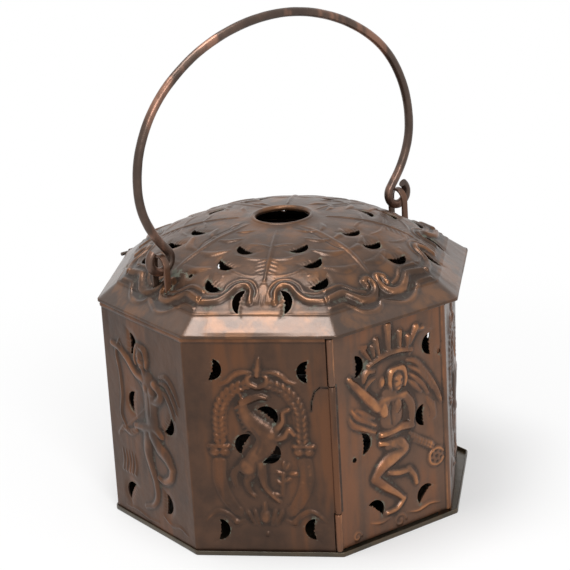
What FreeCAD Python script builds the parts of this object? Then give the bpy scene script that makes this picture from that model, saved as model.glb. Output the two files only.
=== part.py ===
# Octagonal embossed copper foot warmer: pierced wall ring, side door, hinged domed lid,
# swing bail and a loose ember pan inside. Lengths are in millimetres. +Z is up, X runs
# along the bail's pivots, the door faces -Y and the origin is under the middle of the lid.
import FreeCAD, Part
import math
import os

Vec = FreeCAD.Vector
os.makedirs("parts", exist_ok=True)

# Sheet and working clearances shared by the whole object
sheet = 0.8
seat_gap = 0.3
overrun = 4.0
door_face = 1
lid_hinge_face = 5
face_count = 8
face_turn = 360.0 / face_count

# Lid: flat seat ring, upright lip, sloping band and a dome with a rolled vent rim
lid_flats = 207.0
lid_overhang = 4.6
lid_seat_width = 10.0
lip_height = 1.5
band_inset = 11.2
band_rise = 8.6
dome_rise = 26.5
dome_power = 3.1
vent_radius = 15.6
vent_bead = 1.7
lid_skin_drop = 1.0
lid_knuckle = 26.0
lid_hinge_inset = 2.4
lid_pin_tip = 5.8

# Wall ring: one sheet bent round seven faces, a little off the middle of the lid
wall_flats = lid_flats - 2 * lid_overhang
wall_top = 131.0
wall_off_x = -3.0
wall_off_y = 1.2
hem_height = 3.0
jamb_width = 8.0

# Tray: flat floor with a low upturned rim that shows below the door
tray_slack = 1.6
tray_rim_sheet = 0.9
tray_rim_height = 2.6
tray_off_x = -1.6
tray_off_y = 0.5

# Both hinges: sheet rolled round a plain wire pin
pin_radius = 1.1
hinge_clearance = 0.08
knuckle_gap = 0.5
axis_proud = 0.4

# Door: fills the eighth face and swings on the corner left of it
door_lift = 0.8
door_drop = 0.5
door_hem_width = 3.0
door_top_knuckle = 27.5
door_bottom_knuckle = 22.6
door_top_notch = 2.6

# Crescent piercings, cut with one curved chisel
crescent_length = 13.0
crescent_width = 6.4
crescent_hollow = 0.7
lid_crescent_length = 12.5
lid_crescent_width = 5.6
nail_hole = 1.5

# Main strokes of the embossing, raised from the outer faces of the wall, door and lid
wall_relief = 1.6
lid_relief = 1.2

# Bail: round wire bent to a tall bow, with a loop at each end. The bow's three radii are
# shares of its half width, and it stands on its pivots over the dome.
bail_wire = 5.2
bail_inset = 6.5
bail_half_width = lid_flats / 2 - bail_inset
bail_crown_share = 1.1546
bail_side_share = 0.7423
bail_lower_share = 0.5567
bail_run = 8.0
axis_above_dome = 8.96
bail_loop_radius = 6.9
bail_lower_angle = 38.0
bail_loop_angle = 268.0

# Eye staples: strap bent to an arch, legs through the dome and turned out below it
strap_width = 4.0
strap = 1.6
arch_radius = 7.0
arch_above_axis = 3.2
tail_length = 7.0
tail_gap = 0.25
slot_clearance = 0.25

# Ember pan: round pan on three turned feet, with a strap handle held by two rivets
pan_room = 36.9
pan_radius = wall_flats / 2 - pan_room
pan_depth = 34.0
pan_sheet = 1.2
pan_corner = 6.0
pan_bead = 1.8
foot_height = 10.0
foot_radius = 4.5
foot_waist = 2.8
foot_pad_height = 2.0
foot_inset = 18.0
foot_count = 3
handle_width = 11.0
handle_strap = 1.6
handle_reach = 22.0
handle_palm_share = 0.265
handle_drop_share = 0.147
handle_palm = pan_depth * handle_palm_share
handle_drop = pan_depth * handle_drop_share
rivet_radius = 1.5
rivet_head = 2.9
rivet_head_height = 1.1

# Places of the piercings: share of the half face width, share of the wall height, lean in
# degrees from upright, and the side that the curved edge lies on.
oval_panel_shares = (
    (-0.56, 0.85, 13.0, 1),
    (0.61, 0.845, 4.0, -1),
    (0.145, 0.66, -49.0, 1),
    (-0.275, 0.525, 27.0, -1),
    (0.165, 0.46, 39.0, 1),
    (-0.58, 0.116, 4.0, 1),
    (0.61, 0.122, 0.0, -1),
)
figure_panel_shares = (
    (-0.52, 0.83, 3.0, 1),
    (0.66, 0.828, 3.0, -1),
    (0.50, 0.51, 0.0, -1),
    (-0.45, 0.473, 0.0, 1),
    (-0.29, 0.162, -48.0, 1),
    (0.51, 0.15, 46.0, -1),
)
second_figure_shares = (
    (-0.23, 0.865, 2.0, 1),
    (-0.40, 0.588, 8.0, -1),
    (0.55, 0.54, 38.0, 1),
    (-0.61, 0.142, 32.0, -1),
    (0.39, 0.162, 6.0, 1),
)
nail_hole_shares = ((0.875, 0.78), (-0.665, 0.412))

# Embossed strokes of the panels: from one tip to the other as shares of the half face width
# and the wall height, then width and bow as shares of the half face width. A wreath's and a
# frame's strokes are mirrored, and those of the horse, dancer and archer are not.
wreath_shares = (
    (0.17, 0.785, 0.56, 0.53, 0.16, 0.185),
    (0.585, 0.445, 0.355, 0.20, 0.146, 0.09),
    (0.44, 0.50, 0.73, 0.50, 0.13, 0.01),
    (0.08, 0.845, 0.51, 0.79, 0.08, 0.045),
    (0.29, 0.165, 0.76, 0.155, 0.075, 0.12),
)
horse_shares = (
    (0.0, 0.828, 0.02, 0.908, 0.10, 0.0),
    (0.0, 0.14, 0.0, 0.235, 0.32, 0.0),
    (-0.215, 0.71, 0.05, 0.557, 0.23, -0.05),
    (-0.27, 0.714, 0.13, 0.727, 0.12, 0.015),
    (0.146, 0.61, -0.22, 0.382, 0.34, 0.03),
    (0.12, 0.55, 0.46, 0.565, 0.12, 0.04),
    (0.17, 0.573, 0.40, 0.676, 0.10, 0.01),
    (-0.17, 0.41, -0.137, 0.28, 0.12, -0.075),
    (-0.07, 0.435, 0.205, 0.255, 0.13, -0.05),
    (-0.31, 0.427, -0.376, 0.32, 0.08, -0.055),
)
dancer_shares = (
    (-0.39, 0.824, 0.39, 0.829, 0.10, 0.06),
    (-0.01, 0.85, -0.01, 0.965, 0.11, 0.0),
    (-0.20, 0.851, -0.23, 0.924, 0.08, 0.0),
    (0.30, 0.847, 0.45, 0.92, 0.08, 0.0),
    (0.107, 0.656, 0.107, 0.775, 0.27, 0.0),
    (-0.10, 0.626, -0.70, 0.785, 0.16, 0.07),
    (0.24, 0.634, 0.33, 0.489, 0.14, 0.05),
    (0.33, 0.492, -0.22, 0.489, 0.12, 0.01),
    (0.02, 0.64, 0.0, 0.427, 0.42, 0.0),
    (0.12, 0.427, -0.37, 0.298, 0.24, 0.05),
    (-0.35, 0.298, 0.146, 0.156, 0.14, 0.0),
    (0.146, 0.157, -0.146, 0.113, 0.09, 0.0),
    (-0.09, 0.295, 0.38, 0.206, 0.10, 0.11),
    (0.31, 0.786, 0.86, 0.56, 0.09, 0.09),
    (0.32, 0.733, 0.68, 0.603, 0.10, 0.06),
    (-0.29, 0.534, -0.73, 0.634, 0.12, 0.05),
    (0.32, 0.443, 0.695, 0.359, 0.11, 0.0),
    (0.757, 0.26, 0.757, 0.34, 0.25, 0.0),
)
archer_shares = (
    (-0.034, 0.756, -0.034, 0.87, 0.27, 0.0),
    (0.07, 0.74, 0.12, 0.504, 0.36, 0.0),
    (0.0, 0.725, -0.78, 0.827, 0.13, -0.03),
    (-0.575, 0.855, -0.56, 0.45, 0.06, -0.08),
    (0.26, 0.725, 0.14, 0.63, 0.13, 0.15),
    (0.39, 0.763, 0.83, 0.672, 0.09, 0.13),
    (0.39, 0.71, 0.68, 0.595, 0.09, 0.07),
    (-0.29, 0.478, 0.34, 0.489, 0.15, 0.03),
    (0.12, 0.48, 0.56, 0.351, 0.23, 0.0),
    (0.56, 0.355, 0.195, 0.275, 0.12, 0.07),
    (0.0, 0.473, 0.12, 0.252, 0.20, -0.06),
    (0.12, 0.26, -0.21, 0.096, 0.11, 0.12),
    (-0.29, 0.458, -0.78, 0.397, 0.08, 0.0),
)

# Strokes of the lid's gores, mirrored, as shares of the lid's half width: sideways and
# outward of both tips, then width and bow. Each gore also has a stem up its middle.
shell_gore_shares = (
    (0.325, 0.821, 0.186, 0.792, 0.039, -0.017),
    (0.184, 0.792, 0.068, 0.778, 0.040, 0.035),
    (0.068, 0.773, 0.066, 0.85, 0.038, 0.0),
    (0.03, 0.55, 0.185, 0.48, 0.045, 0.0),
    (0.03, 0.676, 0.24, 0.625, 0.050, 0.01),
)
shell_stem_shares = ((0.0, 0.25, 0.0, 0.715, 0.027, 0.0), (0.0, 0.70, 0.0, 0.86, 0.09, 0.0))
scroll_gore_shares = (
    (0.325, 0.817, 0.116, 0.879, 0.040, 0.021),
    (0.04, 0.692, 0.21, 0.67, 0.036, -0.012),
    (0.04, 0.63, 0.198, 0.536, 0.036, 0.01),
    (0.034, 0.54, 0.131, 0.516, 0.036, 0.0),
)
scroll_stem_shares = ((-0.01, 0.215, 0.0, 0.70, 0.028, 0.0),)

# Places on the lid: sideways and outward shares of its half width. Every second gore has
# three rows of two crescents, and the gores between them have one leaning pair.
row_crescent_shares = ((0.179, 0.444), (0.203, 0.594), (0.268, 0.729))
row_drift_share = -0.03
pair_crescent_share = (0.133, 0.826)
pair_crescent_lean = 15.0
dome_section_shares = (1.0, 0.92, 0.8, 0.64, 0.45, 0.27, 0.09)
dome_round_share = 1.03
dome_blend_power = 3.0

# Worked-out places that several pieces share
wall_middle = Vec(wall_off_x, wall_off_y, 0)
tray_middle = Vec(tray_off_x, tray_off_y, 0)
wall_half = wall_flats / 2
corner_share = math.tan(math.radians(face_turn / 2))
corner_reach = math.cos(math.radians(face_turn / 2))
half_face = wall_half * corner_share
pin_bore = pin_radius + hinge_clearance
knuckle_radius = pin_bore + sheet
door_low = tray_rim_height + door_lift
door_high = wall_top - door_drop
door_pin_distance = wall_half / corner_reach + axis_proud
door_pin_angle = math.radians(-90 - face_turn / 2)
door_pin_x = door_pin_distance * math.cos(door_pin_angle)
door_pin_y = door_pin_distance * math.sin(door_pin_angle)
door_inside = -wall_half + sheet
lid_low = wall_top + seat_gap
lip_top = lid_low + lip_height
crease_flats = lid_flats - 2 * band_inset
crease_z = lip_top + band_rise
lid_hinge_half = lid_flats / 2 * corner_share - lid_hinge_inset
lid_pin_y = lid_flats / 2 + knuckle_radius + seat_gap
lid_pin_z = lip_top - knuckle_radius
bail_wire_radius = bail_wire / 2
UP = Vec(0, 0, 1)
ACROSS = Vec(1, 0, 0)
BACK = Vec(0, 1, 0)


def block(low, high):
    """A box between two corners given as (x, y, z)."""
    size = [b - a for a, b in zip(low, high)]
    return Part.makeBox(size[0], size[1], size[2], Vec(*low))


def octagon(flats, z):
    """A closed octagon with one flat square to -Y."""
    reach = flats / 2 / corner_reach
    turns = [math.radians(face_turn * (k + 0.5)) for k in range(face_count + 1)]
    return Part.makePolygon([Vec(reach * math.cos(t), reach * math.sin(t), z) for t in turns])


def octagon_prism(flats, low, high):
    return Part.Face(octagon(flats, low)).extrude(UP * (high - low))


def octagon_ring(outer, inner, low, high):
    return octagon_prism(outer, low, high).cut(octagon_prism(inner, low - overrun, high + overrun))


def facing(shape, face):
    """Turns a shape made against the door's face to another face of the octagon."""
    turned = shape.copy()
    turned.rotate(Vec(0, 0, 0), UP, face_turn * (face - door_face))
    return turned


def moved(shape, offset):
    copy = shape.copy()
    copy.translate(offset)
    return copy


def crescent(length, width, hollow, lean, side):
    """A crescent in the XZ plane: two arcs through the same two tips."""
    tip = length / 2
    middle = width / 2
    low, high = Vec(-side * middle, 0, -tip), Vec(-side * middle, 0, tip)
    belly = Part.Arc(low, Vec(side * middle, 0, 0), high).toShape()
    back = Part.Arc(high, Vec(side * (hollow - middle), 0, 0), low).toShape()
    face = Part.Face(Part.Wire([belly, back]))
    face.rotate(Vec(0, 0, 0), BACK, lean)
    return face


def panel_shares(face):
    """The layout of one face: ovals and figures take turns, and there are two figure panels."""
    if face % 2 != door_face % 2:
        return oval_panel_shares
    return second_figure_shares if (face - door_face) % (face_count // 2) else figure_panel_shares


def panel_crescents(shares):
    """Cutters for one flat panel, standing in the door's face of a ring about the origin."""
    cutters = []
    for across, height, lean, side in shares:
        face = crescent(crescent_length, crescent_width, crescent_hollow, lean, side)
        face.translate(Vec(across * half_face, -wall_half - overrun, height * wall_top))
        cutters.append(face.extrude(BACK * (2 * overrun)))
    return cutters


def stroke(start, end, width, bow):
    """A raised stroke in the XZ plane: two arcs through the same two tips."""
    run = end - start
    aside = Vec(-run.z, 0, run.x).normalize()
    middle = (start + end) / 2
    arcs = [Part.Arc(a, middle + aside * (bow + half), b).toShape()
            for a, b, half in ((start, end, width / 2), (end, start, -width / 2))]
    return Part.Face(Part.Wire(arcs))


def strokes(rows, across, height, sides=(1,)):
    """Draws rows of shares as one flat shape, once for each side."""
    flats = []
    for x0, z0, x1, z1, width, bow in rows:
        for side in sides:
            flats.append(stroke(Vec(side * x0 * across, 0, z0 * height),
                                Vec(side * x1 * across, 0, z1 * height),
                                width * across, side * bow * across))
    return flats


def merged(flats):
    """Joins flat shapes that overlap, so that they are raised as one."""
    return flats[0].fuse(flats[1:]).removeSplitter()


def panel_relief(face):
    """The embossed strokes of one flat panel, rooted inside the sheet of the door's face."""
    if face % 2 != door_face % 2:
        flats = strokes(wreath_shares, half_face, wall_top, (-1, 1))
        flats += strokes(horse_shares, half_face, wall_top)
    elif (face - door_face) % (face_count // 2):
        flats = strokes(archer_shares, half_face, wall_top)
    else:
        flats = strokes(dancer_shares, half_face, wall_top)
    raised = merged(flats).extrude(BACK * -(sheet / 2 + wall_relief))
    return moved(raised, Vec(0, -wall_half + sheet / 2, 0)).Solids


def tube(middle, along, start, end, radius):
    """A round bar about an axis through middle, from start to end along it."""
    return Part.makeCylinder(radius, end - start, middle + along * start, along)


def save(name, shape, solids=1):
    """Writes one piece and says how it came out."""
    shape = shape.removeSplitter() if solids == 1 else shape
    parts = shape.Solids
    whole = parts[0] if len(parts) == 1 else Part.makeCompound(parts)
    assert whole.isValid() and len(parts) == solids, f"{name}: {len(parts)} solids"
    whole.exportStep(f"parts/{name}.step")
    box = whole.BoundBox
    print(name, len(parts), round(whole.Volume), [round(v, 2) for v in
          (box.XMin, box.XMax, box.YMin, box.YMax, box.ZMin, box.ZMax)])
    return whole


# Base tray
def base_tray():
    outer = wall_flats + 2 * (tray_slack + tray_rim_sheet)
    floor = octagon_prism(outer, 0, sheet)
    rim = octagon_ring(outer, outer - 2 * tray_rim_sheet, 0, tray_rim_height)
    return moved(floor.fuse(rim), tray_middle)


# Wall ring, with the door's jamb, the middle door knuckle and the middle lid knuckle
def wall_sheet():
    ring = octagon_ring(wall_flats, wall_flats - 2 * sheet, sheet, wall_top)
    hem = octagon_ring(wall_flats + 2 * sheet, wall_flats, wall_top - hem_height, wall_top)
    inner_corner = door_inside * -corner_share
    doorway = block((-inner_corner, -wall_half - overrun, 0),
                    (half_face + overrun, door_inside + seat_gap, wall_top + overrun))
    shell = ring.fuse(hem).cut(doorway)
    jamb = block((half_face - jamb_width, door_inside + seat_gap, sheet),
                 (half_face + seat_gap, door_inside + seat_gap + sheet, wall_top))
    shell = shell.fuse(jamb)
    pin = Vec(door_pin_x, door_pin_y, 0)
    low, high = door_low + door_bottom_knuckle, door_high - door_top_knuckle
    shell = shell.cut([
        tube(pin, UP, high - knuckle_gap, wall_top + overrun, knuckle_radius + door_top_notch),
        tube(pin, UP, 0, low + knuckle_gap, knuckle_radius + seat_gap),
    ])
    shell = shell.fuse(tube(pin, UP, low + knuckle_gap, high - knuckle_gap, knuckle_radius))
    shell = shell.cut(tube(pin, UP, 0, wall_top, pin_bore))
    shell = moved(shell, wall_middle)
    half_knuckle = lid_hinge_half - lid_knuckle - knuckle_gap
    lid_pin = Vec(0, lid_pin_y, lid_pin_z)
    tab = block((-half_knuckle, wall_off_y + wall_half, lid_pin_z - knuckle_radius),
                (half_knuckle, lid_pin_y, lid_pin_z - pin_bore))
    shell = shell.fuse([tab, tube(lid_pin, ACROSS, -half_knuckle, half_knuckle, knuckle_radius)])
    shell = shell.cut(tube(lid_pin, ACROSS, -half_knuckle - overrun, half_knuckle + overrun, pin_bore))
    raised, cutters = [], []
    for face in range(face_count):
        if face == door_face:
            continue
        raised += [moved(facing(r, face), wall_middle) for r in panel_relief(face)]
        cutters += [moved(facing(c, face), wall_middle) for c in panel_crescents(panel_shares(face))]
    return shell.fuse(raised).cut(cutters)


# Door, with its two knuckles and the hem folded over its free edge
def door():
    pin = Vec(door_pin_x, door_pin_y, 0)
    low_end, high_end = door_low + door_bottom_knuckle, door_high - door_top_knuckle
    plate = block((door_pin_x, -wall_half, door_low), (half_face, door_inside, door_high))
    plate = plate.cut(tube(pin, UP, low_end, high_end, knuckle_radius + seat_gap))
    hem = block((half_face - door_hem_width, -wall_half - sheet, door_low),
                (half_face, -wall_half, door_high))
    knuckles = [tube(pin, UP, door_low, low_end, knuckle_radius),
                tube(pin, UP, high_end, door_high, knuckle_radius)]
    leaf = plate.fuse([hem] + knuckles + panel_relief(door_face))
    cutters = [tube(pin, UP, 0, wall_top, pin_bore)] + panel_crescents(panel_shares(door_face))
    for across, height in nail_hole_shares:
        spot = Vec(across * half_face, 0, height * wall_top)
        cutters.append(tube(spot, BACK, -wall_half - overrun, -wall_half + overrun, nail_hole))
    return moved(leaf.cut(cutters), wall_middle)


def door_hinge_pin():
    pin = Vec(door_pin_x, door_pin_y, 0) + wall_middle
    return tube(pin, UP, tray_rim_height + seat_gap, wall_top - hinge_clearance, pin_radius)


# Lid: the dome is a stack of sections that go from a round at the vent to the octagon
def dome_height(share):
    return crease_z + dome_rise * (1 - share ** dome_power)


def dome_section(share):
    flat = crease_flats / 2
    blend = share ** dome_blend_power
    rounded = (1 - blend) * flat * dome_round_share
    corner = share * (blend * flat / corner_reach + rounded)
    middle = share * (blend * flat + rounded)
    pull = 2 * middle - corner * corner_reach
    z = dome_height(share)
    edges = []
    for k in range(face_count):
        a, b, c = [math.radians(face_turn * (k + part)) for part in (-0.5, 0, 0.5)]
        curve = Part.BezierCurve()
        curve.setPoles([Vec(r * math.cos(t), r * math.sin(t), z)
                        for r, t in ((corner, a), (pull, b), (corner, c))])
        edges.append(curve.toShape())
    return Part.Wire(edges)


def lid_skin():
    """The space under the lid's outer surface, down to the seat."""
    band = Part.makeLoft([octagon(lid_flats, lip_top), octagon(crease_flats, crease_z)], True, True)
    dome = Part.makeLoft([dome_section(s) for s in dome_section_shares], True, False)
    return octagon_prism(lid_flats, lid_low, lip_top).fuse([band, dome])


def lid_crescents():
    """Cutters for the lid, stamped on the door's gore and turned to the others."""
    half = lid_flats / 2
    cutters = []

    def stamp(across, outward, lean, side, face):
        cut = crescent(lid_crescent_length, lid_crescent_width, crescent_hollow, lean, side)
        cut.rotate(Vec(0, 0, 0), ACROSS, -90)
        cut.translate(Vec(across * half, -outward * half, lip_top))
        cutters.append(facing(cut.extrude(UP * (band_rise + 2 * dome_rise)), face))

    for face in range(face_count):
        for side in (-1, 1):
            if face % 2 == door_face % 2:
                for across, outward in row_crescent_shares:
                    stamp(side * across + row_drift_share, outward, 90, 1, face)
            else:
                across, outward = pair_crescent_share
                stamp(side * across, outward, -side * pair_crescent_lean, side, face)
    return cutters


def gore_relief(skin):
    """The lid's embossed strokes, from inside its sheet to the relief's height over it."""
    half = lid_flats / 2
    zone = moved(skin, UP * lid_relief).cut(moved(skin, UP * (-lid_skin_drop / 2)))
    raised = []
    for face in range(face_count):
        if face % 2 == door_face % 2:
            flats = strokes(scroll_gore_shares, half, half, (-1, 1)) + strokes(scroll_stem_shares, half, half)
        else:
            flats = strokes(shell_gore_shares, half, half, (-1, 1)) + strokes(shell_stem_shares, half, half)
        flat = merged(flats)
        flat.rotate(Vec(0, 0, 0), ACROSS, 90)
        flat.translate(UP * lip_top)
        raised += facing(flat.extrude(UP * (band_rise + 2 * dome_rise)), face).Solids
    return zone.common(Part.makeCompound(raised)).Solids


def vent_rim():
    share = (vent_radius + vent_bead) / (crease_flats / 2)
    return Part.makeTorus(vent_radius + vent_bead, vent_bead, Vec(0, 0, dome_height(share)), UP)


def staple_slots(outset):
    """Upright holes for both staples' legs, larger than the strap by outset all round."""
    holes = []
    for side in (-1, 1):
        for leg in (-1, 1):
            x, y = side * eye_x, leg * (arch_radius - strap / 2)
            wide, deep = strap_width / 2 + outset, strap / 2 + outset
            holes.append(block((x - wide, y - deep, lip_top), (x + wide, y + deep, axis_z)))
    return holes


def lid_shell():
    skin = lid_skin()
    lid = skin.cut(moved(skin, UP * -lid_skin_drop))
    lid = lid.fuse(octagon_ring(lid_flats, lid_flats - 2 * lid_seat_width, lid_low, lid_low + sheet))
    pin = Vec(0, lid_pin_y, lid_pin_z)
    for side in (-1, 1):
        near, far = sorted((side * (lid_hinge_half - lid_knuckle), side * lid_hinge_half))
        tab = block((near, lid_flats / 2 - sheet, lip_top - sheet), (far, lid_pin_y, lip_top))
        lid = lid.fuse([tab, tube(pin, ACROSS, near, far, knuckle_radius)])
    lid = lid.cut(tube(pin, ACROSS, -lid_flats, lid_flats, pin_bore))
    vent = tube(Vec(0, 0, 0), UP, lip_top, crease_z + 2 * dome_rise, vent_radius + vent_bead)
    lid = lid.fuse(gore_relief(skin))
    lid = lid.cut([vent] + lid_crescents() + staple_slots(slot_clearance))
    return lid.fuse(vent_rim())


def lid_hinge_pin():
    pin = Vec(0, lid_pin_y, lid_pin_z)
    return tube(pin, ACROSS, -lid_hinge_half - lid_pin_tip, lid_hinge_half + knuckle_gap, pin_radius)


# Bail: the right half is worked out as arcs and runs, and mirrored for the left half
def bail_half(line_top):
    """Edges of the wire's line in the XZ plane, from the crown's top to the loop's tip."""
    crown_radius = bail_crown_share * bail_half_width
    side_radius = bail_side_share * bail_half_width
    lower_radius = bail_lower_share * bail_half_width
    lower = math.radians(bail_lower_angle)
    crown_z = line_top - crown_radius
    side_x = bail_half_width - side_radius
    crown = math.asin(side_x / (crown_radius - side_radius))
    side_z = crown_z + (crown_radius - side_radius) * math.cos(crown)
    lower_x = bail_half_width - lower_radius

    def on(cx, cz, radius, angle):
        return Vec(cx + radius * math.cos(angle), 0, cz + radius * math.sin(angle))

    def arc(cx, cz, radius, first, last):
        points = [on(cx, cz, radius, first + (last - first) * part) for part in (0, 0.5, 1)]
        return Part.Arc(*points).toShape(), points[-1]

    edges = []
    edge, join = arc(0, crown_z, crown_radius, math.pi / 2, math.pi / 2 - crown)
    edges.append(edge)
    edge, join = arc(side_x, side_z, side_radius, math.pi / 2 - crown, 0)
    edges.append(edge)
    edge, join = arc(lower_x, side_z, lower_radius, 0, -lower)
    edges.append(edge)
    heading = Vec(-math.sin(lower), 0, -math.cos(lower))
    start = join + heading * bail_run
    edges.append(Part.LineSegment(join, start).toShape())
    middle = start + Vec(-heading.z, 0, heading.x) * bail_loop_radius
    first = math.pi - lower
    edge, tip = arc(middle.x, middle.z, bail_loop_radius, first, first + math.radians(bail_loop_angle))
    edges.append(edge)
    last = first + math.radians(bail_loop_angle)
    inward = Vec(-math.sin(last), 0, math.cos(last))
    aside = Vec(-heading.z, 0, heading.x)
    gap = (tip - join).dot(aside)
    reach = (gap - bail_wire_radius - seat_gap) / -inward.dot(aside)
    edges.append(Part.LineSegment(tip, tip + inward * reach).toShape())
    return edges, middle


# The bow is drawn once about the origin to find its loop, then raised onto its pivots
drawn_middle = bail_half(0)[1]
eye_x = drawn_middle.x
axis_z = dome_height(eye_x / (crease_flats / 2)) + axis_above_dome
bail_line_top = axis_z + bail_loop_radius - drawn_middle.z
bail_edges = bail_half(bail_line_top)[0]


def bail_handle():
    path = Part.Wire(bail_edges)
    start = Vec(bail_edges[0].Vertexes[0].Point)
    ring = Part.Wire(Part.makeCircle(bail_wire_radius, start, ACROSS))
    half = path.makePipeShell([ring], True, False)
    return half.fuse(half.mirror(Vec(0, 0, 0), ACROSS))


# Eye staples: arch over the bail's pivot, legs through the dome, tails turned out below it
def eye_staple(side):
    top = axis_z + arch_above_axis
    wide = strap_width / 2
    low = dome_height(1.0)
    middle = Vec(side * eye_x - wide, 0, top)
    arch = Part.makeCylinder(arch_radius, strap_width, middle, ACROSS)
    arch = arch.cut(Part.makeCylinder(arch_radius - strap, strap_width, middle, ACROSS))
    arch = arch.common(block((side * eye_x - wide, -arch_radius, top),
                             (side * eye_x + wide, arch_radius, top + arch_radius)))
    skin = lid_skin()
    under = moved(skin, UP * -(lid_skin_drop + tail_gap))
    below = moved(skin, UP * -(lid_skin_drop + tail_gap + strap))
    staple = arch
    for leg in (-1, 1):
        near, far = sorted((leg * (arch_radius - strap), leg * arch_radius))
        upright = block((side * eye_x - wide, near, low - overrun), (side * eye_x + wide, far, top))
        near, far = sorted((leg * (arch_radius - strap), leg * (arch_radius + tail_length)))
        tail = block((side * eye_x - wide, near, low - overrun), (side * eye_x + wide, far, top))
        tail = tail.common(under).cut(below)
        staple = staple.fuse([upright.cut(below), tail])
    return staple


# Ember pan
pan_low = sheet + foot_height
pan_high = pan_low + pan_depth
pan_middle = wall_middle


def ember_pan():
    wall_end = pan_high - pan_bead
    body = Part.makeCylinder(pan_radius, wall_end - pan_low, pan_middle + UP * pan_low, UP)
    foot_edge = [e for e in body.Edges if abs(e.BoundBox.ZMax - pan_low) < sheet
                 and e.BoundBox.ZLength < sheet and e.Length > pan_radius]
    body = body.makeFillet(pan_corner, foot_edge)
    inner = Part.makeCylinder(pan_radius - pan_sheet, pan_depth,
                              pan_middle + UP * (pan_low + pan_sheet), UP)
    foot_edge = [e for e in inner.Edges if abs(e.BoundBox.ZMax - pan_low - pan_sheet) < sheet
                 and e.BoundBox.ZLength < sheet and e.Length > pan_radius]
    inner = inner.makeFillet(pan_corner - pan_sheet, foot_edge)
    rim = Part.makeTorus(pan_radius - pan_sheet / 2, pan_bead, pan_middle + UP * wall_end, UP)
    bores = [rivet_bar(z, rivet_radius + hinge_clearance) for z in rivet_heights()]
    return body.cut([inner] + bores).fuse(rim)


def rivet_heights():
    top = pan_high - 2 * pan_bead - handle_drop
    bottom = pan_low + pan_corner + handle_drop
    return bottom, top


def rivet_bar(z, radius):
    spot = pan_middle + UP * z
    return tube(spot, BACK, -pan_radius - overrun, -pan_radius + overrun, radius)


def ember_pan_handle():
    """Strap bent like a mug's ear in the plane square to the door."""
    bottom, top = rivet_heights()
    palm = handle_palm / 2
    wall_y = -pan_radius - hinge_clearance
    grip_y = wall_y - handle_reach
    z0, z1 = bottom - palm, top + palm
    outer = block((-handle_width / 2, grip_y, z0), (handle_width / 2, wall_y, z1))
    edges = [e for e in outer.Edges if e.BoundBox.YMax < wall_y - sheet and e.BoundBox.XLength > sheet]
    outer = outer.makeFillet(palm, edges)
    inner = block((-handle_width, grip_y + handle_strap, z0 + handle_strap),
                  (handle_width, wall_y - handle_strap, z1 - handle_strap))
    edges = [e for e in inner.Edges if e.BoundBox.YMax < wall_y - 2 * handle_strap
             and e.BoundBox.XLength > sheet]
    inner = inner.makeFillet(palm - handle_strap, edges)
    inner_top = block((-handle_width, wall_y - overrun, bottom + palm),
                      (handle_width, wall_y + overrun, top - palm))
    ear = outer.cut([inner, inner_top])
    ear.translate(pan_middle)
    return ear.cut([rivet_bar(z, rivet_radius + hinge_clearance) for z in (bottom, top)])


def ember_pan_rivets():
    rivets = []
    wall_y = -pan_radius
    for z in rivet_heights():
        spot = pan_middle + UP * z
        inside = wall_y + pan_sheet + 2 * hinge_clearance
        outside = wall_y - hinge_clearance - handle_strap
        shank = tube(spot, BACK, outside, inside, rivet_radius)
        heads = [tube(spot, BACK, inside, inside + rivet_head_height, rivet_head),
                 tube(spot, BACK, outside - rivet_head_height, outside, rivet_head)]
        rivets.append(shank.fuse(heads).removeSplitter().Solids[0])
    return Part.makeCompound(rivets)


def ember_pan_feet():
    feet = []
    profile = Part.makePolygon([
        Vec(0, 0, 0), Vec(foot_radius, 0, 0), Vec(foot_radius, 0, foot_pad_height),
        Vec(foot_waist, 0, foot_height / 2), Vec(foot_radius, 0, foot_height), Vec(0, 0, foot_height),
        Vec(0, 0, 0)])
    turned = Part.Face(profile).revolve(Vec(0, 0, 0), UP, 360)
    for k in range(foot_count):
        angle = math.radians(90 + 360 / foot_count * k)
        circle = pan_radius - foot_inset
        place = Vec(circle * math.cos(angle), circle * math.sin(angle), sheet)
        feet.append(moved(turned.Solids[0], place + pan_middle))
    return Part.makeCompound(feet)


save("base_tray", base_tray())
save("wall_sheet", wall_sheet())
save("door", door())
save("door_hinge_pin", door_hinge_pin())
save("lid_shell", lid_shell())
save("lid_hinge_pin", lid_hinge_pin())
save("bail_handle", bail_handle())
save("eye_staple_left", eye_staple(-1))
save("eye_staple_right", eye_staple(1))
save("ember_pan", ember_pan())
save("ember_pan_handle", ember_pan_handle())
save("ember_pan_rivets", ember_pan_rivets(), 2)
save("ember_pan_feet", ember_pan_feet(), foot_count)
print("bail pivot", round(eye_x, 3), round(axis_z, 3), "door pin", round(door_pin_x + wall_off_x, 3),
      round(door_pin_y + wall_off_y, 3), "lid pin", round(lid_pin_y, 3), round(lid_pin_z, 3))
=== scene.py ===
import math
import bpy
import numpy as np
from mathutils import Matrix, Vector


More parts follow.
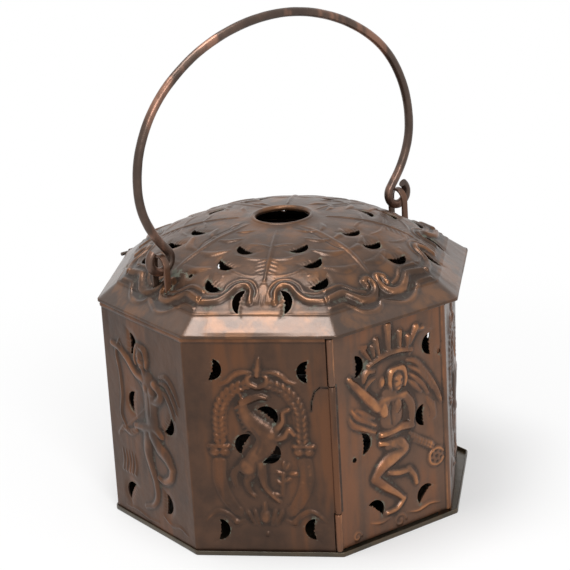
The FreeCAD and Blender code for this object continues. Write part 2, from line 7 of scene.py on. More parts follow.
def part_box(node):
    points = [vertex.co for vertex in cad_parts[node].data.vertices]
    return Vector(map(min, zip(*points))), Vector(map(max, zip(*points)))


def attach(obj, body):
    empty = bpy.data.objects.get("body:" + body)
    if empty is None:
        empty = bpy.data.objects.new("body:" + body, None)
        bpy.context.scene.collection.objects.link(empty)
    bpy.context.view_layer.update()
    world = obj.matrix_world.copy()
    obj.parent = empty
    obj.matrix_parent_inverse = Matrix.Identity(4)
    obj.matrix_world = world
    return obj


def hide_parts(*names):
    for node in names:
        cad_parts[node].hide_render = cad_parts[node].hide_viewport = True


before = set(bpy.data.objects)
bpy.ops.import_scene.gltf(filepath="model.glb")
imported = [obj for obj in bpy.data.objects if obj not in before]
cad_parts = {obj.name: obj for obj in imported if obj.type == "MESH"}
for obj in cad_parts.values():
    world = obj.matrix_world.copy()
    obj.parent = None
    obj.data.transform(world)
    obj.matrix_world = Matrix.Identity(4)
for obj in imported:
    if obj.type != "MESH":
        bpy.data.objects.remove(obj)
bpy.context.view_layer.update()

# The viewpoint: a long lens held above the corner left of the door and tipped a little
# sideways. It takes in the whole warmer with the bail standing up.
camera_place = Vector((-0.72291, -1.00521, 0.56293))
camera_right = Vector((0.79962, -0.59801, -0.05476))
camera_up = Vector((0.24111, 0.23620, 0.94131))
camera_back = Vector((-0.54998, -0.76590, 0.33306))
focal_pixels = 2240.69
frame_pixels = 570
camera_data = bpy.data.cameras.new("viewpoint")
camera_data.sensor_width = 36.0
camera_data.lens = camera_data.sensor_width * focal_pixels / frame_pixels
camera = bpy.data.objects.new("viewpoint", camera_data)
bpy.context.scene.collection.objects.link(camera)
axes = Matrix((camera_right, camera_up, camera_back)).transposed().to_4x4()
camera.matrix_world = Matrix.Translation(camera_place) @ axes
bpy.context.scene.camera = camera

# Base tray: a flat octagonal copper floor with a low rim turned up round its edge, so that
# ash stays in. The rim was bent over a stake by hand and waves a little.
MM = 0.001
face_count = 8
face_turn = 2 * math.pi / face_count
corner_share = math.tan(face_turn / 2)
sheet = 0.8


def box_mm(node):
    return [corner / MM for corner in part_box(node)]


tray_low, tray_high = box_mm("base_tray")
tray_middle = (tray_low + tray_high) / 2
tray_half = (tray_high.x - tray_low.x) / 2
tray_rim_sheet = 0.9
tray_rim_height = tray_high.z - tray_low.z


def add_node(tree, kind, inputs, output=0, **settings):
    """Adds a node: its settings first, then its sockets, each linked or given a value."""
    made = tree.nodes.new(kind)
    for key, value in settings.items():
        setattr(made, key, value)
    for key, value in inputs.items():
        if isinstance(value, bpy.types.NodeSocket):
            tree.links.new(value, made.inputs[key])
        else:
            made.inputs[key].default_value = value
    return made.outputs[output] if made.outputs else None


class Wire:
    """A socket that takes part in sums, so that a finish reads as an expression."""

    def __init__(self, nodes, socket):
        self.nodes, self.socket = nodes, socket

    def math(self, operation, *values, clamp=False):
        return self.nodes.node("Math", dict(enumerate((self, *values))),
                               operation=operation, use_clamp=clamp)

    def __add__(self, other):
        return self.math("ADD", other)

    def __mul__(self, other):
        return self.math("MULTIPLY", other)

    def __sub__(self, other):
        return self.math("SUBTRACT", other)

    def __rsub__(self, other):
        return self.nodes.node("Math", {0: other, 1: self}, operation="SUBTRACT")

    __radd__, __rmul__ = __add__, __mul__

    def between(self, low, high):
        """0 below low, 1 above high, and a smooth step from one to the other."""
        return self.nodes.node("MapRange", {"Value": self, "From Min": low, "From Max": high},
                               interpolation_type="SMOOTHSTEP")


class Nodes:
    """A tree of shader nodes whose sockets are wires."""

    def __init__(self, owner):
        owner.use_nodes = True
        self.tree = owner.node_tree
        self.tree.nodes.clear()

    def node(self, kind, sockets=None, output=0, **settings):
        inputs = {key: getattr(value, "socket", value) for key, value in (sockets or {}).items()}
        return Wire(self, add_node(self.tree, "ShaderNode" + kind, inputs, output, **settings))


class Finish(Nodes):
    """A material, with the patterns and the shader that the finishes share."""

    def __init__(self, name):
        self.material = bpy.data.materials.new(name)
        super().__init__(self.material)
        self.place = self.node("TexCoord", output="Object")

    def noise(self, size, detail=4.0, rough=0.55, stretch=(1.0, 1.0, 1.0), shift=0.0):
        """Cloudy noise whose clouds are about size millimetres across, from 0 to 1."""
        spot = self.node("Mapping", {"Vector": self.place, "Scale": stretch,
                                     "Location": (shift, shift, shift)})
        return self.node("TexNoise", {"Vector": spot, "Scale": 1 / (size * MM),
                                      "Detail": detail, "Roughness": rough})

    def mark(self, name):
        """A wear mark that the mesh carries as an attribute."""
        return self.node("Attribute", output="Fac", attribute_name=name)

    def mix(self, first, second, share):
        """From the first colour to the second by share."""
        blend = {0: share, 6: first, 7: second}
        return self.node("Mix", blend, output=2, data_type="RGBA")

    def surface(self, sockets, height=None, bump_mm=0.1, strength=1.0):
        """Closes the finish with its shader, and a bump where a height is given."""
        if height is not None:
            sockets["Normal"] = self.node("Bump", {"Height": height, "Distance": bump_mm * MM,
                                                   "Strength": strength})
        shader = self.node("BsdfPrincipled", sockets)
        self.node("OutputMaterial", {"Surface": shader})
        return self.material


def old_copper(name, brown, dark, bright, cuprite, shine=0.66, streaked=1.0, coat=0.10):
    """Sheet copper browned by age and soot, rubbed bright on what stands proud, with painted highlights on
    some edges and painted shade in hollows and creases.
    """
    finish = Finish(name)
    cloud = finish.noise(46, 3.0)
    mottle = finish.noise(9, 5.0, 0.62, shift=0.3)
    fleck = finish.noise(1.6, 3.0, 0.7, shift=0.7)
    streak = finish.noise(16, 3.0, 0.6, (1.0, 1.0, 0.16), 1.1)
    # Wear on what stands proud, plus painted highlights along hems, creases, band hips, door edges and
    # knuckles.
    wear_and_sheen = finish.mark("wear_and_sheen") * (0.55 + 0.9 * mottle)
    hollow, cut, inside = finish.mark("hollow"), finish.mark("cut"), finish.mark("inside")
    tone = (0.5 * cloud + 0.3 * mottle + 0.2 * streaked * streak).between(0.34, 0.62)
    colour = finish.mix((*dark, 1.0), (*brown, 1.0), tone)
    colour = finish.mix(colour, (*cuprite, 1.0), 0.8 * streak.between(0.48, 0.66) * (1 - hollow))
    warm = finish.noise(30, 3.0, 0.6, shift=6.0).between(0.42, 0.62)
    polish_and_sheen = (wear_and_sheen * (0.35 + 0.65 * warm) + 0.10 * fleck * tone).between(0.25, 1.3)
    colour = finish.mix(colour, (*bright, 1.0), 0.46 * polish_and_sheen)
    # Soot and dark patina in the hollows, plus painted shade in the recesses and along creases and slits.
    grime_and_shade = (hollow * (0.6 + 0.6 * fleck) + 0.3 * fleck.between(0.6, 0.72)).between(0.1, 1.0)
    colour = finish.mix(colour, (0.034, 0.023, 0.018, 1.0), 0.85 * grime_and_shade)
    damp = finish.noise(5, 4.0, 0.7, shift=2.0)
    green = (cut * 1.2 + hollow * 0.55) * damp.between(0.46, 0.64)
    green = green.between(0.25, 0.95)
    colour = finish.mix(colour, (0.16, 0.175, 0.135, 1.0), 0.62 * green)
    colour = finish.mix(colour, (0.020, 0.015, 0.012, 1.0), 0.75 * inside)
    metal = (shine + 0.22 * wear_and_sheen) * (1 - 0.7 * green) * (1 - 0.5 * inside)
    rough = 0.22 + 0.18 * mottle + 0.10 * fleck + 0.3 * green + 0.2 * inside - 0.05 * wear_and_sheen
    pits = finish.noise(0.8, 2.0, 0.6, shift=3.0)
    hammer = finish.noise(5.5, 1.0, 0.4, shift=4.0)
    scratch = finish.noise(0.7, 2.0, 0.5, (1.0, 1.0, 0.07), 5.0)
    height = 0.30 * pits + 1.9 * hammer + 0.22 * scratch + 0.35 * fleck
    sockets = {"Base Color": colour, "Metallic": metal.math("MULTIPLY", 1.0, clamp=True),
               "Roughness": rough, "Specular IOR Level": 0.25, "Coat Roughness": 0.2, "Coat IOR": 1.6,
               "Coat Weight": (0.3 * finish.mark("lacquer") + coat) * (1 - green) * (1 - inside)}
    return finish.surface(sockets, height, 0.11)


def octagon_path(half, middle, rounding, steps=4):
    """Points of an octagon with one flat square to -Y and its corners rounded."""
    points = []
    reach = (half - rounding) / math.cos(face_turn / 2)
    for k in range(face_count):
        corner = face_turn * (k + 0.5)
        for step in range(steps + 1):
            turn = corner + face_turn * (step / steps - 0.5)
            points.append((middle[0] + reach * math.cos(corner) + rounding * math.cos(turn),
                           middle[1] + reach * math.sin(corner) + rounding * math.sin(turn),
                           middle[2]))
    return points


def sweep_tree(name, normal_mode):
    """Nodes that sweep a rounded section along a chain of edges, a little unevenly."""
    tree = bpy.data.node_groups.new(name, "GeometryNodeTree")
    sockets = (("Width", "Float"), ("Height", "Float"), ("Rounding", "Float"), ("Step", "Float"),
               ("Waver", "Float"), ("Unevenness", "Float"), ("Seed", "Float"), ("Finish", "Material"))
    tree.interface.new_socket("Geometry", in_out="INPUT", socket_type="NodeSocketGeometry")
    for label, kind in sockets:
        tree.interface.new_socket(label, in_out="INPUT", socket_type="NodeSocket" + kind)
    tree.interface.new_socket("Geometry", in_out="OUTPUT", socket_type="NodeSocketGeometry")

    def node(kind, inputs, **settings):
        return add_node(tree, kind, inputs, **settings)

    given = tree.nodes.new("NodeGroupInput").outputs
    line = node("GeometryNodeMeshToCurve", {"Mesh": given["Geometry"]})
    line = node("GeometryNodeResampleCurve", {"Curve": line, "Length": given["Step"]}, mode="LENGTH")
    spot = node("GeometryNodeInputPosition", {})
    drift = {"Vector": spot, "W": given["Seed"], "Scale": 22.0, "Detail": 2.0}
    cloud = node("ShaderNodeTexNoise", drift, output="Color", noise_dimensions="4D")
    centred = node("ShaderNodeVectorMath", {0: cloud, 1: (0.5, 0.5, 0.5)}, operation="SUBTRACT")
    shift = node("ShaderNodeVectorMath", {0: centred, "Scale": given["Waver"]}, operation="SCALE")
    line = node("GeometryNodeSetPosition", {"Geometry": line, "Offset": shift})
    line = node("GeometryNodeSetCurveNormal", {"Curve": line}, mode=normal_mode)
    swell = {"Vector": spot, "W": given["Seed"], "Scale": 90.0, "Detail": 2.0}
    swell = node("ShaderNodeTexNoise", swell, noise_dimensions="4D")
    swell = node("ShaderNodeMath", {0: swell, 1: 0.5}, operation="SUBTRACT")
    swell = node("ShaderNodeMath", {0: swell, 1: given["Unevenness"], 2: 1.0}, operation="MULTIPLY_ADD")
    section = node("GeometryNodeCurvePrimitiveQuadrilateral",
                   {"Width": given["Width"], "Height": given["Height"]})
    section = node("GeometryNodeFilletCurve", {"Curve": section, "Radius": given["Rounding"],
                                               "Count": 4, "Limit Radius": True}, mode="POLY")
    skin = node("GeometryNodeCurveToMesh", {"Curve": line, "Profile Curve": section,
                                            "Scale": swell, "Fill Caps": True})
    skin = node("GeometryNodeSetShadeSmooth", {"Geometry": skin})
    skin = node("GeometryNodeRealizeInstances", {"Geometry": skin})
    skin = node("GeometryNodeSetMaterial", {"Geometry": skin, "Material": given["Finish"]})
    tree.links.new(skin, tree.nodes.new("NodeGroupOutput").inputs[0])
    return tree


strip_tree = sweep_tree("strip_along_edge", "Z_UP")
wire_tree = sweep_tree("drawn_wire", "MINIMUM_TWIST")


def link(name, mesh):
    piece = bpy.data.objects.new(name, mesh)
    bpy.context.scene.collection.objects.link(piece)
    return piece


def swept(name, tree, points, closed, **sizes):
    """Sweeps a section along points in millimetres and returns a plain mesh object."""
    count = len(points)
    chain = bpy.data.meshes.new(name)
    edges = [(k, (k + 1) % count) for k in range(count if closed else count - 1)]
    chain.from_pydata([Vector(p) * MM for p in points], edges, [])
    draft = link(name + "_draft", chain)
    modifier = draft.modifiers.new("sweep", "NODES")
    modifier.node_group = tree
    for item in tree.interface.items_tree:
        if item.in_out == "INPUT" and item.name in sizes:
            value = sizes[item.name]
            lengths = ("Width", "Height", "Rounding", "Step", "Waver")
            modifier[item.identifier] = value * MM if item.name in lengths else value
    draft.update_tag()
    graph = bpy.context.evaluated_depsgraph_get()
    mesh = bpy.data.meshes.new_from_object(draft.evaluated_get(graph))
    bpy.data.objects.remove(draft)
    return link(name, outward(mesh))


def outward(mesh):
    """Turns a closed mesh's faces outwards if its volume comes out negative."""
    mesh.calc_loop_triangles()
    points = np.zeros(len(mesh.vertices) * 3, np.float32)
    mesh.vertices.foreach_get("co", points)
    corners = np.zeros(len(mesh.loop_triangles) * 3, np.int32)
    mesh.loop_triangles.foreach_get("vertices", corners)
    a, b, c = points.reshape(-1, 3)[corners.reshape(-1, 3)].transpose(1, 0, 2).astype(float)
    if np.einsum("ij,ij->", a, np.cross(b, c)) < 0:
        mesh.flip_normals()
    return mesh


def settle(piece, body, slot, *nodes):
    """Names what a piece rides on and the solids it stands for; its finish slot is not used."""
    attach(piece, body)
    if nodes:
        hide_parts(*nodes)
    return piece


tray_finish = old_copper("tray_copper", (0.080, 0.060, 0.038), (0.046, 0.038, 0.026),
                         (0.30, 0.19, 0.10), (0.085, 0.058, 0.032), 0.5, coat=0.25)
rim_line = octagon_path(tray_half - tray_rim_sheet / 2,
                        (tray_middle.x, tray_middle.y, tray_rim_height / 2 + 0.15), 1.5)
tray_rim = swept("tray_rim", strip_tree, rim_line, True, Width=tray_rim_sheet,
                 Height=tray_rim_height, Rounding=0.4, Step=1.5, Waver=0.7, Seed=3.0,
                 Unevenness=0.16, Finish=tray_finish)
floor_line = octagon_path(tray_half - tray_rim_sheet / 2, (tray_middle.x, tray_middle.y, 0), 1.5)
floor_mesh = bpy.data.meshes.new("tray_floor")
low_ring = [Vector(p) * MM for p in floor_line]
high_ring = [p + Vector((0, 0, sheet * MM)) for p in low_ring]
count = len(low_ring)
sides = [(k, (k + 1) % count, (k + 1) % count + count, k + count) for k in range(count)]
floor_mesh.from_pydata(low_ring + high_ring, [],
                       [tuple(range(count))[::-1], tuple(range(count, 2 * count))] + sides)
floor_mesh.materials.append(tray_finish)
tray_floor = link("tray_floor", floor_mesh)
for piece in (tray_rim, tray_floor):
    settle(piece, "root", "tray_copper", "base_tray")

# Wall sheet: one long copper sheet, worked from the back over pitch so that its figures
# stand proud, pierced with a curved chisel, and bent at seven corners round seven faces.
wall_half = 98.9
wall_middle = (-3.0, 1.2)
wall_low, wall_top = sheet, 131.0
half_face = wall_half * corner_share
bend_radius = 1.9
flat_half = half_face - bend_radius * corner_share
arc_half = flat_half + bend_radius * face_turn / 2
mesh_pitch = 0.6
hem_height = 3.0
hem_proud = 0.75


def soften(field, spread):
    """Blurs a grid by a bell of the given spread, counted in cells."""
    reach = int(math.ceil(3 * spread))
    bell = np.exp(-0.5 * (np.arange(-reach, reach + 1) / spread) ** 2)
    bell /= bell.sum()
    for axis in (0, 1):
        padded = np.pad(field, [(reach, reach) if k == axis else (0, 0) for k in (0, 1)], "edge")
        field = sum(weight * np.take(padded, np.arange(k, k + field.shape[axis]), axis)
                    for k, weight in enumerate(bell))
    return field


def through(points, halves, spacing=0.45):
    """A smooth line through a few points, with the half width at each step of it."""
    nodes = np.array([(*p, h) for p, h in zip(points, halves)], float)
    nodes = np.vstack([2 * nodes[0] - nodes[1], nodes, 2 * nodes[-1] - nodes[-2]])
    steps = []
    for before, start, end, after in zip(nodes, nodes[1:], nodes[2:], nodes[3:]):
        length = math.dist(start[:2], end[:2])
        t = np.linspace(0, 1, max(2, int(length / spacing)), endpoint=False)[:, None]
        steps.append(0.5 * (2 * start + (end - before) * t
                            + (2 * before - 5 * start + 4 * end - after) * t ** 2
                            + (3 * start - before - 3 * end + after) * t ** 3))
    return np.vstack(steps + [nodes[-2:-1]])


class Chasing:
    """The relief of one panel: a grid of heights drawn mark by mark, in millimetres."""

    def __init__(self, low, high, seed, pitch=0.3):
        self.low, self.pitch = low, pitch
        sides = [int(math.ceil((b - a) / pitch)) + 1 for a, b in zip(low, high)]
        self.height = np.zeros(sides)
        self.draw = np.random.default_rng(seed)

    def stamp(self, layer, spot, radii, turn=0.0, rise=1.0, crown=0.7):
        """One domed oval, kept where it stands above what the layer has."""
        reach = max(radii)
        window, offsets = [], []
        for k in (0, 1):
            first = max(0, int((spot[k] - reach - self.low[k]) / self.pitch))
            last = min(layer.shape[k], int((spot[k] + reach - self.low[k]) / self.pitch) + 2)
            window.append(slice(first, max(first, last)))
            offsets.append(self.low[k] + self.pitch * np.arange(first, max(first, last)) - spot[k])
        across, up = offsets[0][:, None], offsets[1][None, :]
        c, s = math.cos(turn), math.sin(turn)
        far = ((across * c + up * s) / radii[0]) ** 2 + ((up * c - across * s) / radii[1]) ** 2
        part = layer[tuple(window)]
        np.maximum(part, rise * np.clip(1 - far, 0, None) ** crown, out=part)

    def lay(self, layer, how):
        if how == "raise":
            self.height = np.maximum(self.height, layer)
        else:
            self.height = self.height + (layer if how == "add" else -layer)

    def line(self, points, half, rise, how="raise", crown=0.7):
        """A ridge or, with how sink, a groove through points; half may change along it."""
        halves = half if isinstance(half, (tuple, list)) else [half] * len(points)
        layer = np.zeros_like(self.height)
        widest = max(halves)
        for a, b, h in through(points, halves):
            h = max(h, self.pitch)
            self.stamp(layer, (a, b), (h, h), 0.0, rise * (h / widest) ** 0.4, crown)
        self.lay(layer, how)

    def boss(self, spot, radii, rise, lean=0.0, how="raise", crown=0.7):
        """A domed oval; lean is in degrees from upright towards the right."""
        layer = np.zeros_like(self.height)
        self.stamp(layer, spot, radii, -math.radians(lean), rise, crown)
        self.lay(layer, how)

    def leaves(self, points, count, apart, leaf, rise, splay=32):
        """Pairs of leaves laid along a line, each pair growing out of the one before."""
        line = through(points, [1.0] * len(points))[:, :2]
        layer = np.zeros_like(self.height)
        for k in np.linspace(1, len(line) - 2, count).astype(int):
            da, db = line[k + 1] - line[k - 1]
            lean = math.degrees(math.atan2(da, db))
            for side in (-1, 1):
                turn = -math.radians(lean + side * splay)
                normal = np.array((db, -da)) / math.hypot(da, db)
                spot = line[k] + side * apart * normal
                size = rise * self.draw.uniform(0.75, 1.1)
                self.stamp(layer, spot, leaf, turn, size, 0.8)
        self.lay(layer, "raise")

    def hatch(self, points, count, half, length, depth, lean=35):
        """Short chased strokes across a line, as on feathers and leaves."""
        line = through(points, [1.0] * len(points))[:, :2]
        for k in np.linspace(1, len(line) - 2, count).astype(int):
            da, db = line[k + 1] - line[k - 1]
            turn = math.atan2(da, db) + math.radians(lean)
            step = 0.5 * length * np.array((math.sin(turn), math.cos(turn)))
            self.line([line[k] - step, line[k] + step], half, depth, "sink")

    def finish(self, dents, edge):
        """Softens the tool marks, adds old dents, works out where hands rub and finds the recesses that
        take grime and painted shade.
        """
        sharp = 0.95 * soften(self.height, 0.48 / self.pitch)
        lean = [self.low[k] + self.pitch * np.arange(sharp.shape[k]) for k in (0, 1)]
        across, up = lean[0][:, None], lean[1][None, :]
        wave = np.zeros_like(sharp)
        for _ in range(dents):
            spot = [self.draw.uniform(g[0], g[-1]) for g in lean]
            spread, depth = self.draw.uniform(5, 16), self.draw.uniform(-0.45, 0.4)
            far = ((across - spot[0]) ** 2 + (up - spot[1]) ** 2) / (2 * spread ** 2)
            wave += depth * np.exp(-far)
        inner = np.clip((edge - np.abs(across)) / 5, 0, 1) * np.ones_like(up)
        self.proud = sharp + wave * inner
        broad = soften(sharp, 2.4 / self.pitch)
        fine = soften(sharp, 0.9 / self.pitch)
        bend = (sharp - broad) + 0.8 * (sharp - fine)
        self.wear_and_sheen = np.clip(bend * 1.15 + 0.16 * sharp, 0, 1)
        # The recesses, which the finish darkens with grime and with painted shade.
        self.hollow = np.clip(-bend * 2.2, 0, 1)
        return self

    def at(self, field, a, b):
        """Reads a field of this panel at any places, between its grid's points."""
        i = np.clip((a - self.low[0]) / self.pitch, 0, field.shape[0] - 1.001)
        j = np.clip((b - self.low[1]) / self.pitch, 0, field.shape[1] - 1.001)
        i0, j0 = i.astype(int), j.astype(int)
        s, t = i - i0, j - j0
        low = field[i0, j0] * (1 - s) + field[i0 + 1, j0] * s
        high = field[i0, j0 + 1] * (1 - s) + field[i0 + 1, j0 + 1] * s
        return low * (1 - t) + high * t


def mirrored(points, side):
    """The same points for side 1, and their mirror image for side -1."""
    return [(side * a, b) for a, b in points]


def wreath_and_horse(panel):
    """A rearing horse in an oval wreath, with a shell above and a palmette below."""
    line, boss = panel.line, panel.boss
    for side in (-1, 1):
        upper = mirrored([(6.5, 103.5), (13, 101), (18.5, 96), (21.8, 90), (23, 83), (23, 69)], side)
        line(upper, (2.6, 3, 3.3, 3.4, 3.4, 3.2), 0.5)
        panel.leaves(upper[::-1], 13, 1.7, (1.35, 2.6), 1.45)
        line(mirrored([(24, 57.5), (25, 48), (23.2, 39), (19, 31), (14.5, 26)], side),
             (3.3, 3.3, 3, 2.6, 2), 0.5)
        lower = mirrored([(24, 58), (24.6, 48), (22.6, 39), (18.6, 31), (14.5, 26.5)], side)
        panel.leaves(lower[::-1], 14, 1.6, (1.15, 2.3), 1)
        for shift in (-2.9, 2.9):
            rail = [(a + side * shift, b) for a, b in lower[:4]]
            line(rail, 0.7, 0.75)
        line(mirrored([(18.4, 66.6), (29, 66.6)], side), 1.3, 1.5)
        for lobe in (20.9, 26.3):
            boss((side * lobe, 63.2), (2.9, 2.7), 1.7)
        line(mirrored([(3, 110.5), (9, 110.5), (13.5, 108.4), (16.5, 105.5), (21, 103.6)], side),
             (0.9, 1.5, 1.6, 1.3, 0.8), 1)
        boss((side * 12, 109.4), (2.2, 1.3), 1.4, side * 60)
        line(mirrored([(12, 21.5), (16, 20.4), (20, 24.6), (26, 27), (31, 24), (34.5, 20)], side),
             (0.8, 1.3, 1.5, 1.5, 1.3, 0.7), 0.9)
        boss((side * 16.6, 20.4), (1.6, 2.2), 1.5)
        for out, half, lean in ((4.9, 1.6, 13), (8.1, 1.3, 24)):
            boss((side * out, 23.6), (half, 5.6), 1.5, side * lean)
        line(mirrored([(1, 102), (4.8, 104.2), (5.3, 107.6), (3.2, 108.6)], side),
             (1.7, 2, 1.5, 0.9), 1.7)
        line(mirrored([(12, 98.5), (16.5, 92.5), (18.8, 85.5), (19.2, 74)], side), 0.45, 0.45)
    boss((0, 24), (3.4, 4.6), 1.9)
    line([(0, 28), (0, 32.4)], (1.4, 0.9), 1.2)
    boss((0.6, 13.2), (1.5, 1.9), 1.2)
    line([(0, 109), (0.6, 114), (1.3, 119)], (1.9, 1.6, 0.9), 1.5)
    boss((0.2, 112.2), (2.6, 1.2), 1.3)
    neck = [(-8.6, 92.5), (-8.4, 88), (-5.8, 82.5), (-0.5, 77)]
    line(neck, (2.8, 3.5, 4.6, 6), 2.2)
    line([(-9.2, 92.8), (-4, 95.2), (0.6, 96.4), (4.4, 95.6)], (2.5, 2.5, 1.9, 1.3), 2.2)
    line([(-9, 95), (-10.3, 98.4)], (1.1, 0.6), 1.6)
    line([(-0.5, 77.5), (3.4, 72.5), (1.6, 66), (-3.6, 60), (-6, 56)], (5.6, 6.9, 6.3, 5.4, 5.8), 2.6)
    boss((5.4, 73.4), (5.2, 5), 2.8)
    boss((-7.8, 54.2), (6, 6.3), 2.9)
    line([(8, 71.5), (13, 72.6), (15.8, 76.6), (18.8, 73.4)], (3.2, 2.2, 1.6, 1.2), 2)
    line([(8.4, 76), (12.4, 81), (13, 86.6), (16.4, 88.6)], (2.8, 1.8, 1.4, 1.1), 1.8)
    line([(-6.8, 50), (-9.2, 45.5), (-8.2, 39.6), (-5.2, 36.4)], (3.6, 2.1, 1.5, 1.3), 1.9)
    line([(-1.4, 56), (-0.4, 48.6), (0.8, 42.4), (4.6, 37.2), (8.6, 33)], (3.8, 2.7, 1.9, 1.5, 1.2), 2)
    line([(-13, 54.6), (-16.4, 49.4), (-15.6, 42)], (1.6, 1.9, 0.9), 1.2)
    for k in range(6):
        root = (-10.6 + 0.9 * k, 91.5 - 2.8 * k)
        line([root, (root[0] - 2.4, root[1] - 2.2)], (0.8, 0.5), 1.3)
    line([(-4.6, 78.4), (-0.4, 70), (-2.6, 63)], 0.5, 0.5, "sink")
    line([(-3.4, 57.4), (-3, 52.4), (-5.6, 49)], 0.5, 0.5, "sink")
    boss((-4.6, 95.6), (0.7, 0.6), 0.4, how="sink")
    line([(10.4, 37.4), (11, 44), (11.6, 50.4)], 0.9, 1.1)
    for a, b, lean in ((14, 54.4, 30), (17.4, 50.2, 88), (8.8, 51, -70), (13.6, 46.4, 62), (8.8, 45, -50),
                       (11.8, 55.6, 0), (7, 37.6, -72)):
        boss((a, b), (1.15, 2.7), 1.2, lean)


def feathers(panel, lines, rise):
    """Long feathers side by side, each with chased barbs."""
    for points in lines:
        panel.line(points, [1] + [1.75] * (len(points) - 2) + [0.8], rise)
        panel.hatch(points, int(2 + len(points) * 2.4), 0.45, 2.4, 0.6)


def calm_head(panel, a, b, lean=0.0):
    """A small classical head with waved hair: plain features at even heights."""
    line = panel.line
    panel.boss((a, b), (4.7, 7), 2.9, lean)
    for side in (-1, 1):
        lock = [(a, b + 7.4), (a + side * 4.2, b + 6), (a + side * 5.6, b + 0.8),
                 (a + side * 5, b - 4.2)]
        line(lock, (1.7, 2.4, 2.1, 1.2), 2.7)
        for out in (-0.9, 0.9):
            line([(x + side * out, y + 0.5 * out) for x, y in lock[:3]], 0.5, 0.55, "sink")
        panel.boss((a + side * 1.9, b + 0.3), (1.1, 0.7), 0.8, how="sink")
    line([(a - 3, b + 1.8), (a, b + 2.3), (a + 3, b + 1.8)], 0.6, 0.45, "add")
    line([(a + 0.2, b + 1.4), (a, b - 1.5)], (0.55, 0.95), 0.95, "add")
    line([(a - 1.4, b - 3.3), (a + 1.4, b - 3.3)], 0.5, 0.65, "sink")
    panel.boss((a, b - 5), (1.6, 1.2), 0.45, how="add")


